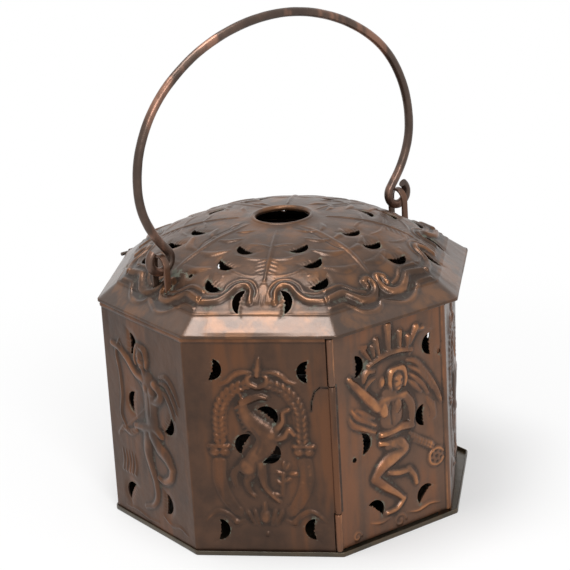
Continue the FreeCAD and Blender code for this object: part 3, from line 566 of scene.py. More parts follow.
def winged_dancer(panel):
    """A winged figure on one knee under a crown of rays, one arm raised."""
    line = panel.line
    line([(-15.4, 107), (-8.4, 109.6), (0, 111), (8, 110.6), (15.6, 108.6)], (1.5, 1.9, 2, 1.9, 1.4),
         2)
    line([(-13, 104.8), (-6, 107), (0.4, 107.9), (8, 107.2), (13, 105.4)], 0.8, 0.8, "sink")
    rays = (((-13.6, 110.4), (-18.4, 117.4), 1.3), ((-11, 112), (-12, 117.6), 1.6),
            ((-7.6, 112), (-9.4, 121), 1.9), ((-0.5, 113), (-0.5, 127), 2.5),
            ((7.4, 112.6), (7.6, 121.4), 1.8), ((12.8, 111.6), (13.4, 117), 1.8),
            ((14.6, 113), (19.4, 121), 2.2))
    for root, tip, half in rays:
        line([root, tip], (0.7 * half, 1.1 * half), 1.9)
    line([(-21, 119.4), (-16.6, 118.4)], (0.8, 1.4), 1)
    line([(21, 119.6), (24.4, 119.4)], (1, 1.4), 1.1)
    line([(14.2, 106), (15.2, 112.6), (19.6, 117.4), (25.4, 119.2), (30.2, 117.6)], 0.55, 0.55)
    calm_head(panel, 4.4, 93.4, 3)
    panel.boss((-6, 95), (2.2, 3.6), 1.3, 12)
    line([(1.5, 87), (1.5, 83)], (2.6, 3.2), 2)
    line([(-19, 99), (-16.4, 103.6), (-11.6, 103.2)], (1.6, 2.2, 1.6), 1.5)
    line([(-18.4, 94.6), (-14.4, 98), (-10.8, 98.8)], (1.2, 1.7, 1), 1.2)
    panel.hatch([(-18, 96), (-14.5, 100.5), (-11, 101)], 6, 0.4, 3.2, 0.45, 70)
    line([(-3, 82.6), (-9, 80.6), (-15, 86.4), (-19.4, 91.4), (-25.4, 98.4), (-29.2, 103)],
         (3.4, 3.8, 3.5, 3.1, 2.4, 1.7), 2.4)
    line([(10, 82.4), (13.4, 77.4), (14.4, 71), (13.2, 64.8)], (3, 3.2, 2.9, 2.7), 2.3)
    line([(-1, 84.5), (-1, 79), (-0.6, 72), (-0.6, 66.6), (-1, 58)], (7.4, 9.4, 8.2, 6.8, 6.6), 2)
    line([(-10, 82.6), (-2, 84.6), (9.6, 83)], (3, 3.2, 3), 2.3)
    line([(-6.4, 82), (-6.6, 79), (-6, 76.4)], (2.4, 3.9, 3.2), 3.4)
    line([(3.4, 82), (3.4, 79.2), (2.8, 76.6)], (2.2, 3.7, 3), 3.4)
    line([(-1.6, 82), (-1.8, 76), (-1.2, 69)], 0.9, 0.6, "sink")
    line([(13.2, 64), (6, 65.2), (-1.4, 64.2), (-8.4, 64)], (2.8, 3, 2.6, 2.2), 3.1)
    line([(-8.8, 59), (-3, 57)], (2.2, 1.9), 2)
    line([(-0.4, 57.2), (4.2, 55.2), (7.4, 51.6)], (4, 4.6, 4.2), 2.9)
    line([(7, 51.4), (-1, 48.2), (-8.4, 44.6), (-13.8, 39.6)], (4.6, 5, 4.2, 2.7), 2.7)
    line([(-14, 38.6), (-7, 32), (0, 26.2), (6, 20.4)], (3, 3, 2.3, 1.5), 2.3)
    line([(6.2, 20.6), (1.2, 16), (-5.8, 14.8)], (1.8, 1.7, 1.4), 1.8)
    line([(-3.6, 39.4), (3.4, 37.4), (9.6, 37)], (2, 2.2, 2), 1.8)
    line([(10.6, 37.4), (14.2, 32.6), (15.8, 27)], (2.3, 2, 1.5), 1.9)
    line([(0.4, 56.4), (4.4, 52.4)], 0.5, 0.6, "sink")
    line([(-9.6, 60.8), (-2, 60.2), (8, 60.6)], 0.7, 0.7, "sink")
    feathers(panel, ([(12.6, 103.4), (18.6, 100.6), (24.8, 93.4), (30, 85.4), (33.8, 77.4), (36.2, 71.6)],
                     [(13, 99.4), (19.4, 95.2), (25, 89), (30, 81.4)],
                     [(12.6, 95.4), (18, 91), (23, 85.4), (26.6, 79.8)],
                     [(12.4, 91.4), (16.6, 87.4), (21.6, 81.8)]), 1.9)
    for k in range(4):
        line([(25.6 + 1.6 * k, 76.5 - 1.4 * k), (28.6 + 0.9 * k, 69.6 - 1.6 * k), (28.8 + 0.4 * k, 63)],
             (1, 0.8, 0.5), 0.8)
    feathers(panel, ([(-12, 70.6), (-17.6, 74.6), (-24, 78.6), (-28.8, 85)],
                     [(-13, 75.4), (-19, 79.2), (-24.6, 83.4)],
                     [(-12.6, 66.6), (-19.4, 70.4), (-27.4, 75.4), (-30.6, 81)]), 1.5)
    for start, middle, end in (((12, 59.4), (20, 53.4), (28.4, 48.4)),
                               ((13.6, 56.6), (22, 51.4), (29, 46.6)),
                               ((15, 53.8), (22, 49.4), (28, 45.2))):
        line([start, middle, end], (0.6, 1, 0.8), 1.4)
    panel.hatch([(13, 57), (21.5, 51.4), (28.4, 46.8)], 8, 0.5, 6.5, 0.6, 78)
    ring = [(31 + 5.4 * math.cos(t), 39.2 + 5 * math.sin(t)) for t in np.linspace(0.4, 5.9, 9)]
    line(ring, 1, 1.3)
    for k in range(6):
        turn = 2 * math.pi * k / 6
        line([(31 + 4.4 * math.cos(turn), 39.2 + 4.2 * math.sin(turn)),
             (31 + 3.4 * math.cos(turn + 2.2), 39.2 + 3.2 * math.sin(turn + 2.2))], 0.6, 0.9)
    for a, b, size in ((-28, 7.2, 3.2), (3, 7.4, 4.4)):
        coil = [(a + size * (1 - 0.1 * k) * math.cos(0.9 * k),
                 b + size * (1 - 0.1 * k) * math.sin(0.9 * k)) for k in range(9)]
        line(coil, 0.65, 0.9)
    line([(-18, 12.4), (-11, 10.6), (-4, 11.4)], (0.6, 1.1, 0.6), 0.8)
    line([(9, 11), (17, 9.6), (25, 11.2), (33, 9.8)], (0.6, 1.1, 1.1, 0.6), 0.8)


def archer(panel):
    """A winged archer who draws a tall bow, one leg bent behind."""
    line = panel.line
    calm_head(panel, -1.4, 106.6, -6)
    line([(0.4, 99.6), (3, 95.6)], (2.6, 3.6), 2)
    line([(4, 94), (5.6, 86), (4.6, 77), (5.6, 68)], (7.2, 7.4, 6.4, 6.6), 2.5)
    line([(0, 94.6), (-8, 96.6), (-16, 103), (-24, 107.4), (-32, 108.4)], (3.2, 3, 2.7, 2.3, 1.7), 2.3)
    line([(10.6, 94.4), (16.6, 90.4), (12.4, 84.6), (5.6, 82.6)], (3.2, 3, 2.7, 2.1), 2.9)
    line([(-23.6, 112.6), (-27.8, 104), (-25.4, 92), (-25, 78), (-27.4, 66), (-23, 58.6)],
         (0.7, 1.2, 1.3, 1.3, 1.2, 0.7), 1.5)
    line([(-23.4, 112), (-10, 97), (5, 82.6)], 0.5, 0.8)
    line([(-22.8, 59), (-8, 70.4), (5, 82)], 0.5, 0.7)
    feathers(panel, ([(16, 100), (23, 101.6), (29.4, 96.4), (34, 88)],
                     [(15.6, 96.6), (22.4, 96.4), (28, 90.4), (31.4, 82)],
                     [(16, 93), (21.4, 90.6), (25.8, 84.6), (28, 78)]), 1.7)
    line([(-13, 62.4), (-2, 64.4), (8, 66.4), (14, 63.4)], (1.6, 3.2, 3.6, 2.2), 2.6)
    line([(6, 62), (11.6, 55.4), (18.4, 51.6), (22.6, 46.6)], (5.4, 5.2, 4.6, 3.2), 2.9)
    line([(23, 46), (20.4, 39.6), (13.6, 35.4), (8, 36.2)], (3.2, 2.9, 2.2, 1.5), 2.2)
    line([(0, 60), (-1.4, 50), (1, 41.4), (4.6, 33.4)], (4.8, 4.4, 3.4, 3), 2.4)
    line([(4.8, 33), (5.2, 24), (0.4, 16.6), (-8.6, 12.6)], (3, 2.4, 1.7, 1.4), 2)
    panel.boss((2, 89.6), (3.2, 3), 0.8, how="add")
    panel.boss((8.4, 89.6), (3, 2.9), 0.8, how="add")
    line([(5.4, 86), (5, 74)], 0.6, 0.5, "sink")
    line([(-12, 60), (-19, 56.4), (-26, 57.4), (-32, 52)], (1.6, 2, 1.6, 0.8), 1.3)
    panel.hatch([(-12, 60), (-19, 56.4), (-26, 57.4), (-32, 52)], 8, 0.4, 2.8, 0.4)
    for k in range(5):
        line([(-30 + 3.1 * k, 30), (-28.4 + 3.1 * k, 36 + 2 * (k % 2)), (-29.6 + 3.1 * k, 43)],
             (1.3, 1.1, 0.5), 1)
    line([(10, 12.4), (18, 9.6), (26, 11), (33.4, 8.6)], (0.6, 1.2, 1.1, 0.6), 0.9)
    line([(-30, 6.6), (-18, 7.4), (-6, 5.6), (4, 6.6)], (0.6, 1.1, 1.1, 0.6), 0.8)
    panel.height *= 0.8


def panel_chasing(draw_motif, seed):
    panel = Chasing((-43.5, -2.0), (43.5, 133.0), seed)
    draw_motif(panel)
    return panel.finish(9, half_face - 1.5)


oval_piercings = ((-23.0, 111.4, 13, 1), (25.0, 110.7, 4, -1), (5.9, 86.5, -49, 1), (-11.3, 68.8, 27, -1),
                  (6.8, 60.3, 39, 1), (-23.8, 15.2, 4, 1), (25.0, 16.0, 0, -1))
dancer_piercings = ((-21.3, 108.7, 3, 1), (27.1, 108.5, 3, -1), (20.5, 66.8, 0, -1), (-18.5, 62.0, 0, 1),
                    (-11.9, 21.2, -48, 1), (20.9, 19.7, 46, -1))
archer_piercings = ((-9.4, 113.3, 2, 1), (-16.4, 77.0, 8, -1), (22.5, 70.7, 38, 1), (-25.0, 18.6, 32, -1),
                    (16.0, 21.2, 6, 1))
piercing_size = (13.0, 6.4, 0.7)


def crescent_room(a, b, place, size, seed):
    """Distance from a crescent opening, negative inside it; its straight edge is torn."""
    (across, up, lean, side), (length, width, hollow) = place, size
    c, s = math.cos(math.radians(lean)), math.sin(math.radians(lean))
    da, db = a - across, b - up
    out = side * (da * c - db * s)
    run = da * s + db * c
    belly = ((length / 2) ** 2 + width ** 2) / (2 * width)
    back = ((length / 2) ** 2 + hollow ** 2) / (2 * hollow)
    draw = np.random.default_rng(seed)
    teeth = int(length / 1.9)
    phase = (run / length + 0.5) * teeth + draw.uniform(0, 1)
    heights = draw.uniform(0.25, 1.25, teeth + 3)
    tooth = heights[np.clip(phase.astype(int), 0, teeth + 2)] * (1 - np.abs(2 * (phase % 1) - 1))
    tear = tooth * np.clip(1.2 - (2 * run / length) ** 2, 0, 1)
    from_belly = np.hypot(run, out - (width / 2 - belly)) - belly
    from_back = back + tear - np.hypot(run, out - (hollow - width / 2 - back))
    return np.maximum(from_belly, from_back)


def piercing_room(a, b, places, size, seed, nails=()):
    """Distance from the nearest opening, worked out only close to each one."""
    reach = size[0]
    room = np.full(np.shape(a), reach)
    for k, place in enumerate(places):
        near = np.hypot(a - place[0], b - place[1]) < reach
        if near.any():
            room[near] = np.minimum(room[near], crescent_room(a[near], b[near], place, size, seed + k))
    for across, up, radius in nails:
        room = np.minimum(room, np.hypot(a - across, b - up) - radius)
    return room


def dished(room, depth=0.6, spread=1.5):
    """How far the chisel drove the sheet in round an opening."""
    return depth * np.exp(-0.5 * (np.clip(room, 0, None) / spread) ** 2)


def beside_cut(room, spread=1.1):
    """1 at the edge of an opening, less further out."""
    return np.exp(-np.clip(room, 0, None) / spread)


def hump(far, spread):
    """1 where far is nought, and a smooth fall to both sides."""
    return np.exp(-(far / spread) ** 2)


def pierced_sheet(name, across, along, metal, place, marks, finish):
    """Cuts a fine grid by the metal's signed distance and closes it as a sheet with a rim."""
    grid_a, grid_b = [g.ravel() for g in np.meshgrid(across, along, indexing="ij")]
    room = metal(grid_a, grid_b)
    ids = np.arange(len(grid_a)).reshape(len(across), len(along))
    c0, c1, c2, c3 = ids[:-1, :-1], ids[1:, :-1], ids[1:, 1:], ids[:-1, 1:]
    odd = np.add.outer(np.arange(c0.shape[0]), np.arange(c0.shape[1])) % 2 == 1
    first = np.stack([c0, c1, np.where(odd, c3, c2)], -1)
    second = np.stack([np.where(odd, c1, c0), c2, c3], -1)
    tris = np.concatenate([first.reshape(-1, 3), second.reshape(-1, 3)])
    inside = room[tris] > 0
    count = inside.sum(1)
    whole = tris[count == 3]
    mixed = (count == 1) | (count == 2)
    part, flags, single = tris[mixed], inside[mixed], count[mixed] == 1
    lone = np.argmax(np.where(single[:, None], flags, ~flags), 1)
    part = np.take_along_axis(part, (lone[:, None] + np.arange(3)) % 3, 1)
    total = len(grid_a)
    low = np.minimum(part[:, :1], part[:, 1:])
    high = np.maximum(part[:, :1], part[:, 1:])
    keys, where = np.unique((low * total + high).ravel(), return_inverse=True)
    cuts = where.reshape(-1, 2) + total
    low, high = keys // total, keys % total
    share = np.clip(room[low] / (room[low] - room[high]), 0.04, 0.96)
    grid_a = np.append(grid_a, grid_a[low] + share * (grid_a[high] - grid_a[low]))
    grid_b = np.append(grid_b, grid_b[low] + share * (grid_b[high] - grid_b[low]))
    tip = np.column_stack([part[single, 0], cuts[single]])
    b, c = part[~single, 1], part[~single, 2]
    ab, ac = cuts[~single, 0], cuts[~single, 1]
    tris = np.concatenate([whole, tip, np.column_stack([ab, b, c]), np.column_stack([ab, c, ac])])
    used, tris = np.unique(tris, return_inverse=True)
    tris = tris.reshape(-1, 3)
    grid_a, grid_b = grid_a[used], grid_b[used]
    edges = np.concatenate([tris[:, [0, 1]], tris[:, [1, 2]], tris[:, [2, 0]]])
    keys = np.sort(edges, 1) @ np.array((len(used), 1))
    _, where, times = np.unique(keys, return_inverse=True, return_counts=True)
    rim = edges[times[where.ravel()] == 1]
    step = 0.15
    lean_a = place(grid_a + step, grid_b, 0) - place(grid_a - step, grid_b, 0)
    lean_b = place(grid_a, grid_b + step, 0) - place(grid_a, grid_b - step, 0)
    normal = np.cross(lean_a, lean_b)
    normal /= np.linalg.norm(normal, axis=1)[:, None]
    points = np.concatenate([place(grid_a, grid_b, 0), place(grid_a, grid_b, sheet)]) * MM
    n = len(used)
    p, q = rim[:, 0], rim[:, 1]
    faces = np.concatenate([tris, tris[:, ::-1] + n, np.column_stack([p, p + n, q + n]),
                            np.column_stack([p, q + n, q])])
    mesh = bpy.data.meshes.new(name)
    mesh.vertices.add(len(points))
    mesh.vertices.foreach_set("co", points.astype(np.float32).ravel())
    mesh.loops.add(faces.size)
    mesh.loops.foreach_set("vertex_index", faces.astype(np.int32).ravel())
    mesh.polygons.add(len(faces))
    mesh.polygons.foreach_set("loop_start", np.arange(0, faces.size, 3, dtype=np.int32))
    mesh.polygons.foreach_set("use_smooth", np.arange(len(faces)) < 2 * len(tris))
    mesh.update(calc_edges=True)
    flat_rim = np.zeros((2 * len(rim) * 3, 3))
    loops = np.concatenate([normal[tris.ravel()], -normal[tris[:, ::-1].ravel()], flat_rim])
    mesh.normals_split_custom_set(loops.tolist())
    for label, values in {**marks(grid_a, grid_b), "inside": np.zeros(n)}.items():
        both = np.concatenate([values, np.full(n, float(label == "inside"))])
        mesh.attributes.new(label, "FLOAT", "POINT").data.foreach_set("value", both.astype(np.float32))
    mesh.materials.append(finish)
    return link(name, mesh)


def from_line(a, b, points):
    """Distance from a line through a few points."""
    far = np.full(np.shape(a), np.inf)
    for (a0, b0), (a1, b1) in zip(points, points[1:]):
        da, db = a1 - a0, b1 - b0
        share = np.clip(((a - a0) * da + (b - b0) * db) / (da ** 2 + db ** 2), 0, 1)
        far = np.minimum(far, np.hypot(a - a0 - share * da, b - b0 - share * db))
    return far


def knocked_in(x, y, z):
    """The wall's corner behind the door's free edge, pushed in a little at its foot."""
    deepest, spread, fades_at = 2.8, 36, 125
    out_x, out_y = math.cos(-face_turn / 2), math.sin(-face_turn / 2)
    corner = wall_half / out_x
    far = np.hypot(x - wall_middle[0] - corner * out_x, y - wall_middle[1] - corner * out_y)
    push = deepest * hump(far, spread) * np.clip(1 - z / fades_at, 0, 1)
    return x - push * out_x, y - push * out_y


def wall_face(name, face, panel, piercings, seed, notches=(), slits=()):
    """One face of the wall, from the middle of one corner's bend to the next."""
    turn = face_turn * (face - 1)

    def cuts(a, b):
        return piercing_room(a, b, piercings, piercing_size, seed)

    def metal(a, b):
        room = cuts(a, b)
        for low_a, high_a, low_b, high_b in notches:
            inside = np.maximum(np.maximum(low_a - a, a - high_a), np.maximum(low_b - b, b - high_b))
            room = np.minimum(room, inside)
        for slit in slits:
            room = np.minimum(room, from_line(a, b, slit) - slit_half)
        return room

    def place(a, b, deep):
        bulge = (b - (wall_top - hem_height / 2)) / (hem_height / 2)
        hem = hem_proud * np.sqrt(np.clip(1 - bulge ** 2, 0, 1))
        h = panel.at(panel.proud, a, b) - dished(cuts(a, b)) + hem - deep
        over = np.clip(np.abs(a) - flat_half, 0, None) / bend_radius
        side = np.sign(a)
        u = side * (np.minimum(np.abs(a), flat_half) + (bend_radius + h) * np.sin(over))
        v = wall_half - bend_radius + (bend_radius + h) * np.cos(over)
        x = wall_middle[0] + u * math.cos(turn) + v * math.sin(turn)
        y = wall_middle[1] + u * math.sin(turn) - v * math.cos(turn)
        return np.column_stack([*knocked_in(x, y, b), b])

    def marks(a, b):
        # Rubbed wear on the bends with a painted highlight along them, and a painted highlight along the
        # hem.
        worn = 0.5 * np.clip(1 - (arc_half - np.abs(a)) / 1.6, 0, 1)
        worn += 0.8 * np.clip((b - (wall_top - hem_height)) / 0.8, 0, 1)
        near = beside_cut(cuts(a, b))
        wear_and_sheen = np.clip(panel.at(panel.wear_and_sheen, a, b) + worn + 0.35 * near, 0, 1)
        # Painted shade under the hem's lower edge and along the slits.
        painted_shade = 0.5 * hump(b - (wall_top - hem_height - 0.4), 0.7)
        for slit in slits:
            painted_shade += hump(from_line(a, b, slit), 0.9)
        hollow = np.clip(panel.at(panel.hollow, a, b) + painted_shade, 0, 1)
        return {"wear_and_sheen": wear_and_sheen, "hollow": hollow, "cut": near}

    bend = np.linspace(flat_half, arc_half, 4)
    flat = np.linspace(-flat_half, flat_half, int(2 * flat_half / mesh_pitch))
    across = np.concatenate([-bend[:0:-1], flat, bend[1:]])
    along = np.linspace(wall_low, wall_top, int((wall_top - wall_low) / mesh_pitch))
    return pierced_sheet(name, across, along, metal, place, marks, case_finish)


case_finish = old_copper("case_copper", (0.096, 0.051, 0.032), (0.053, 0.032, 0.023),
                         (0.36, 0.158, 0.076), (0.145, 0.061, 0.029), coat=0.04)
face_names = {0: "wall_front_left", 2: "wall_front_right", 3: "wall_right", 4: "wall_back_right",
              5: "wall_back", 6: "wall_back_left", 7: "wall_left"}
middle_knuckle = (26.5, 102.5)
pin_reach = 2.4
beyond = 200.0
slit_half = 0.28
hinge_slits = (((arc_half, 101.4), (34.5, 101.8), (31.4, 99.4), (29.4, 93.5), (29.0, 88.0)),)
hinge_notches = ((arc_half - pin_reach, beyond, -beyond, middle_knuckle[0]),
                 (arc_half - pin_reach, beyond, middle_knuckle[1], beyond))
for face, name in face_names.items():
    if face % 2 == 0:
        motif, piercings = wreath_and_horse, oval_piercings
    elif face == 5:
        motif, piercings = winged_dancer, dancer_piercings
    else:
        motif, piercings = archer, archer_piercings
    piece = wall_face(name, face, panel_chasing(motif, 10 + face), piercings, 100 + 10 * face,
                      hinge_notches if face == 0 else (), hinge_slits if face == 0 else ())
    settle(piece, "root", "case_copper", "wall_sheet")

# Door jamb and knuckles: the wall's free edge is folded back behind the door, and the sheets
# are rolled round the hinge wires in turn, the door's two knuckles round the wall's one.
def turned(name, outline, base, along, finish, steps=40):
    """Turns a closed outline of (radius, distance) about an axis, as a closed mesh."""
    base, along = Vector(base), Vector(along)
    side = along.orthogonal().normalized()
    other = along.cross(side)
    rings = len(outline)
    points, faces = [], []
    for step in range(steps):
        turn = 2 * math.pi * step / steps
        out = side * math.cos(turn) + other * math.sin(turn)
        points += [(base + along * far_along + out * radius) * MM for radius, far_along in outline]
        after = (step + 1) % steps
        faces += [(step * rings + k, step * rings + (k + 1) % rings,
                   after * rings + (k + 1) % rings, after * rings + k) for k in range(rings)]
    mesh = bpy.data.meshes.new(name)
    mesh.from_pydata(points, [], faces)
    mesh.polygons.foreach_set("use_smooth", [True] * len(faces))
    mesh.set_sharp_from_angle(angle=math.radians(50))
    mesh.materials.append(finish)
    return link(name, outward(mesh))


knuckle_radius, knuckle_bore, knuckle_gap = 1.98, 1.18, 0.5
door_low, door_high = 3.4, 130.5


def knuckle(name, base, along, start, end, finish, worn=(0.5, -0.87, 0)):
    """A roll of sheet round a wire, with its edges eased and a painted highlight along one side."""
    ease = 0.25
    outline = [(knuckle_bore, start), (knuckle_radius - ease, start), (knuckle_radius, start + ease)]
    outline += [(knuckle_radius + 0.05 * math.sin(1.7 * k), start + (end - start) * k / 9)
                for k in range(1, 9)]
    outline += [(knuckle_radius, end - ease), (knuckle_radius - ease, end), (knuckle_bore, end)]
    roll = turned(name, outline, base, along, finish)
    # The painted highlight falls on the side that worn points to.
    bright = roll.data.attributes.new("wear_and_sheen", "FLOAT", "POINT")
    for vertex, value in zip(roll.data.vertices, bright.data):
        out = (vertex.co / MM - Vector(base)).dot(Vector(worn)) / knuckle_radius
        value.value = max(0.0, 2.5 * out - 1.6)
    return roll


door_pin_low, door_pin_high = box_mm("door_hinge_pin")
door_pin = ((door_pin_low.x + door_pin_high.x) / 2, (door_pin_low.y + door_pin_high.y) / 2, 0)
up = (0, 0, 1)
wall_knuckle = knuckle("wall_door_knuckle", door_pin, up, *middle_knuckle, case_finish)
jamb_width, jamb_gap = 8.0, 0.3
jamb_x = wall_middle[0] + half_face - jamb_width / 2 - 0.6
jamb_y = wall_middle[1] - wall_half + 1.5 * sheet + jamb_gap
jamb = swept("wall_door_jamb", strip_tree, [(jamb_x, jamb_y, wall_low), (jamb_x, jamb_y, wall_top)],
             False, Width=jamb_width, Height=sheet, Rounding=0.3, Step=3.0, Finish=case_finish)
lid_pin_low, lid_pin_high = box_mm("lid_hinge_pin")
lid_pin = (0, (lid_pin_low.y + lid_pin_high.y) / 2, (lid_pin_low.z + lid_pin_high.z) / 2)
lid_hinge_half, lid_knuckle = 40.475, 26.0
wall_half_knuckle = lid_hinge_half - lid_knuckle - knuckle_gap
across = (1, 0, 0)
lid_roll = knuckle("wall_lid_knuckle", lid_pin, across, -wall_half_knuckle, wall_half_knuckle,
                   case_finish, up)


def hinge_leaf(name, start, end, y_from, y_to, z, finish):
    """The flat stretch of sheet that runs out to a knuckle from the edge behind it."""
    middle = (y_from + y_to) / 2
    return swept(name, strip_tree, [(start, middle, z), (end, middle, z)], False,
                 Width=abs(y_to - y_from), Height=sheet, Rounding=0.2, Step=3.0, Finish=finish)


leaf = hinge_leaf("wall_hinge_leaf", -wall_half_knuckle, wall_half_knuckle,
                  wall_middle[1] + wall_half - sheet, lid_pin[1], lid_pin[2] - knuckle_radius + sheet / 2,
                  case_finish)
for piece in (wall_knuckle, jamb, lid_roll, leaf):
    settle(piece, "root", "case_copper", "wall_sheet")

# Door: the eighth face, a separate sheet worked with a winged figure. Its free edge is folded
# over for stiffness, and two nail holes are left from an old repair.
door_finish = old_copper("door_copper", (0.150, 0.078, 0.048), (0.092, 0.055, 0.038),
                         (0.72, 0.30, 0.115), (0.195, 0.082, 0.040), 0.62, coat=0.12)
door_panel = panel_chasing(winged_dancer, 41)
door_nails = ((35.8, 102.0, 1.5), (-27.2, 54.0, 1.5))
door_edge = half_face - 0.3
door_pin_u = door_pin[0] - wall_middle[0]
door_hem = 3.0
door_seed = 170


def door_cuts(a, b):
    return piercing_room(a, b, dancer_piercings, piercing_size, door_seed, door_nails)


def door_room(a, b):
    notch = np.maximum(a - (door_pin_u + pin_reach), np.abs(b - sum(middle_knuckle) / 2)
                       - (middle_knuckle[1] - middle_knuckle[0]) / 2 - knuckle_gap)
    return np.minimum(door_cuts(a, b), notch)


def door_place(a, b, deep):
    fold = hem_proud * np.clip((a - (door_edge - door_hem)) / 0.6, 0, 1)
    ease = 0.45 * np.clip((a - (door_edge - 0.8)) / 0.8, 0, 1) ** 2
    ease += 0.3 * np.clip((b - (door_high - 0.8)) / 0.8, 0, 1) ** 2
    h = door_panel.at(door_panel.proud, a, b) - dished(door_cuts(a, b)) + fold - ease - deep
    return np.column_stack([wall_middle[0] + a, wall_middle[1] - wall_half - h, b])


def door_marks(a, b):
    near = beside_cut(door_cuts(a, b))
    # Painted highlights along the hem's inner edge and the free edge, and rubbed wear along the foot.
    worn = 0.75 * hump(a - (door_edge - door_hem + 0.5), 0.7)
    worn += 0.75 * hump(a - door_edge + 0.3, 0.6) + 0.4 * hump(b - door_low, 0.8)
    # Painted shade on the strip beside the wall's middle knuckle and along the hem's inner edge; that strip
    # gets no wear or highlight.
    dark_wide, dark_half = 1.6, 38.5
    knuckle_shade = (a < door_pin_u + pin_reach + dark_wide) & (np.abs(b - sum(middle_knuckle) / 2) < dark_half)
    painted_shade = 0.8 * hump(a - (door_edge - door_hem - 0.5), 0.7) + knuckle_shade
    wear_and_sheen = np.clip(1.1 * door_panel.at(door_panel.wear_and_sheen, a, b) + worn + 0.35 * near, 0, 1)
    wear_and_sheen *= 1 - knuckle_shade
    hollow = np.clip(door_panel.at(door_panel.hollow, a, b) + painted_shade, 0, 1)
    return {"wear_and_sheen": wear_and_sheen, "hollow": hollow, "cut": near}


door_across = np.linspace(door_pin_u, door_edge, int((door_edge - door_pin_u) / mesh_pitch))
door_along = np.linspace(door_low, door_high, int((door_high - door_low) / mesh_pitch))
door_leaf = pierced_sheet("door_panel", door_across, door_along, door_room, door_place, door_marks,
                          door_finish)
settle(door_leaf, "door", "door_copper", "door")
for name, start, end in (("door_knuckle_low", door_low, middle_knuckle[0] - knuckle_gap),
                         ("door_knuckle_high", middle_knuckle[1] + knuckle_gap, door_high)):
    settle(knuckle(name, door_pin, up, start, end, door_finish), "door", "door_copper", "door")

# Lid: one sheet raised over a stake to a flattened dome on a sloping eight-sided band, chased
# with shells and scrolls, pierced in rows, and turned down to a lip round the edge.
lid_half = 103.5
lip_top, lid_low = 132.8, 131.3
crease_half = lid_half - 11.2
crease_z = lip_top + 8.6
band_fall = (crease_z - lip_top) / (lid_half - crease_half)
dome_rise, dome_power, round_share, blend_power = 26.5, 3.1, 1.03, 3.0
vent_radius, vent_bead = 15.6, 1.7
lid_pitch = 0.55
lid_finish = old_copper("lid_copper", (0.120, 0.065, 0.040), (0.066, 0.041, 0.029),
                        (0.40, 0.185, 0.09), (0.158, 0.073, 0.034), 0.64, 0.3, 0.08)


def gore_coordinates(x, y):
    """The gore that each place lies in, and its places sideways and outward in it."""
    turns = [face_turn * (k - 1) for k in range(face_count)]
    outs = np.array([x * math.sin(t) - y * math.cos(t) for t in turns])
    sides = np.array([x * math.cos(t) + y * math.sin(t) for t in turns])
    own = outs.argmax(0)
    pick = np.arange(outs.shape[1])
    outward_at = outs[own, pick]
    sharpness = 1.3
    eased = outward_at + np.log(np.exp(sharpness * (outs - outward_at)).sum(0)) / sharpness
    near_edge = np.clip(outward_at / crease_half, 0, 1) ** 5
    return own, sides[own, pick], outward_at + (eased - outward_at) * near_edge, outs, sides


def lid_height(x, y):
    """Height of the plain lid before chasing: a dome that goes from round to octagon."""
    _, u, v, _, _ = gore_coordinates(x, y)
    half_sine, half_cosine = math.sin(face_turn / 2), math.cos(face_turn / 2)

    def curve(share):
        blend = share ** blend_power
        rounded = (1 - blend) * crease_half * round_share
        corner = share * (blend * crease_half / half_cosine + rounded)
        middle = share * (blend * crease_half + rounded)
        w2 = (u / (corner * half_sine)) ** 2
        return middle * (1 - w2) + corner * half_cosine * w2

    share = np.clip(v / crease_half, 0.05, 1.2)
    for _ in range(5):
        slope = (curve(share + 0.001) - curve(share - 0.001)) / 0.002
        share = np.clip(share - (curve(share) - v) / slope, 0.02, 1.3)
    dome = crease_z + dome_rise * (1 - share ** dome_power)
    return np.where(v < crease_half, dome, crease_z - (v - crease_half) * band_fall)


def shell_gore(panel):
    """A narrow shell between two scrolled ribbons, with a veined stem above it."""
    line = panel.line
    for side in (-1, 1):
        ribbon = mirrored([(38, 85), (33, 85.6), (25, 85.4), (19, 82), (15, 78.2), (10, 77.4), (7, 81),
                          (7, 86)], side)
        line(ribbon, (1.5, 1.8, 1.9, 1.9, 1.8, 1.6, 1.3, 1.5), 1.9)
        panel.boss((side * 6.8, 86.6), (1.9, 1.6), 1.8)
        line(mirrored([(37, 73), (34, 78), (30, 81), (23, 81), (20, 77), (15, 74.2), (9, 74.2), (5, 77),
             (3, 82), (4, 87)], side), 0.75, 0.9)
        for vein in (((0.4, 47), (6, 44.6), (12, 43.4)), ((0.8, 59), (10, 58.2), (18.6, 53.8)),
                     ((1, 71), (9, 71.6), (17, 68.2), (21, 64.4)), ((24, 70), (28.6, 67), (30.4, 62))):
            line(mirrored(vein, side), [0.5] + [0.9] * (len(vein) - 2) + [0.5], 0.6)
        for k in range(5):
            line(mirrored([(1.6, 60 + 3 * k), (5.6, 61.4 + 3 * k)], side), (0.7, 0.5), 0.5)
    for k in (-2, -1, 0, 1, 2):
        line([(0.6 * k, 77), (1.5 * k, 82), (2.5 * k, 87.5 - 0.5 * k * k)], (0.4, 0.5, 0.7), 0.7)
    line([(0.6, 26), (0.8, 40), (1, 56), (0, 75)], (0.7, 1, 1.1, 0.9), 0.9)


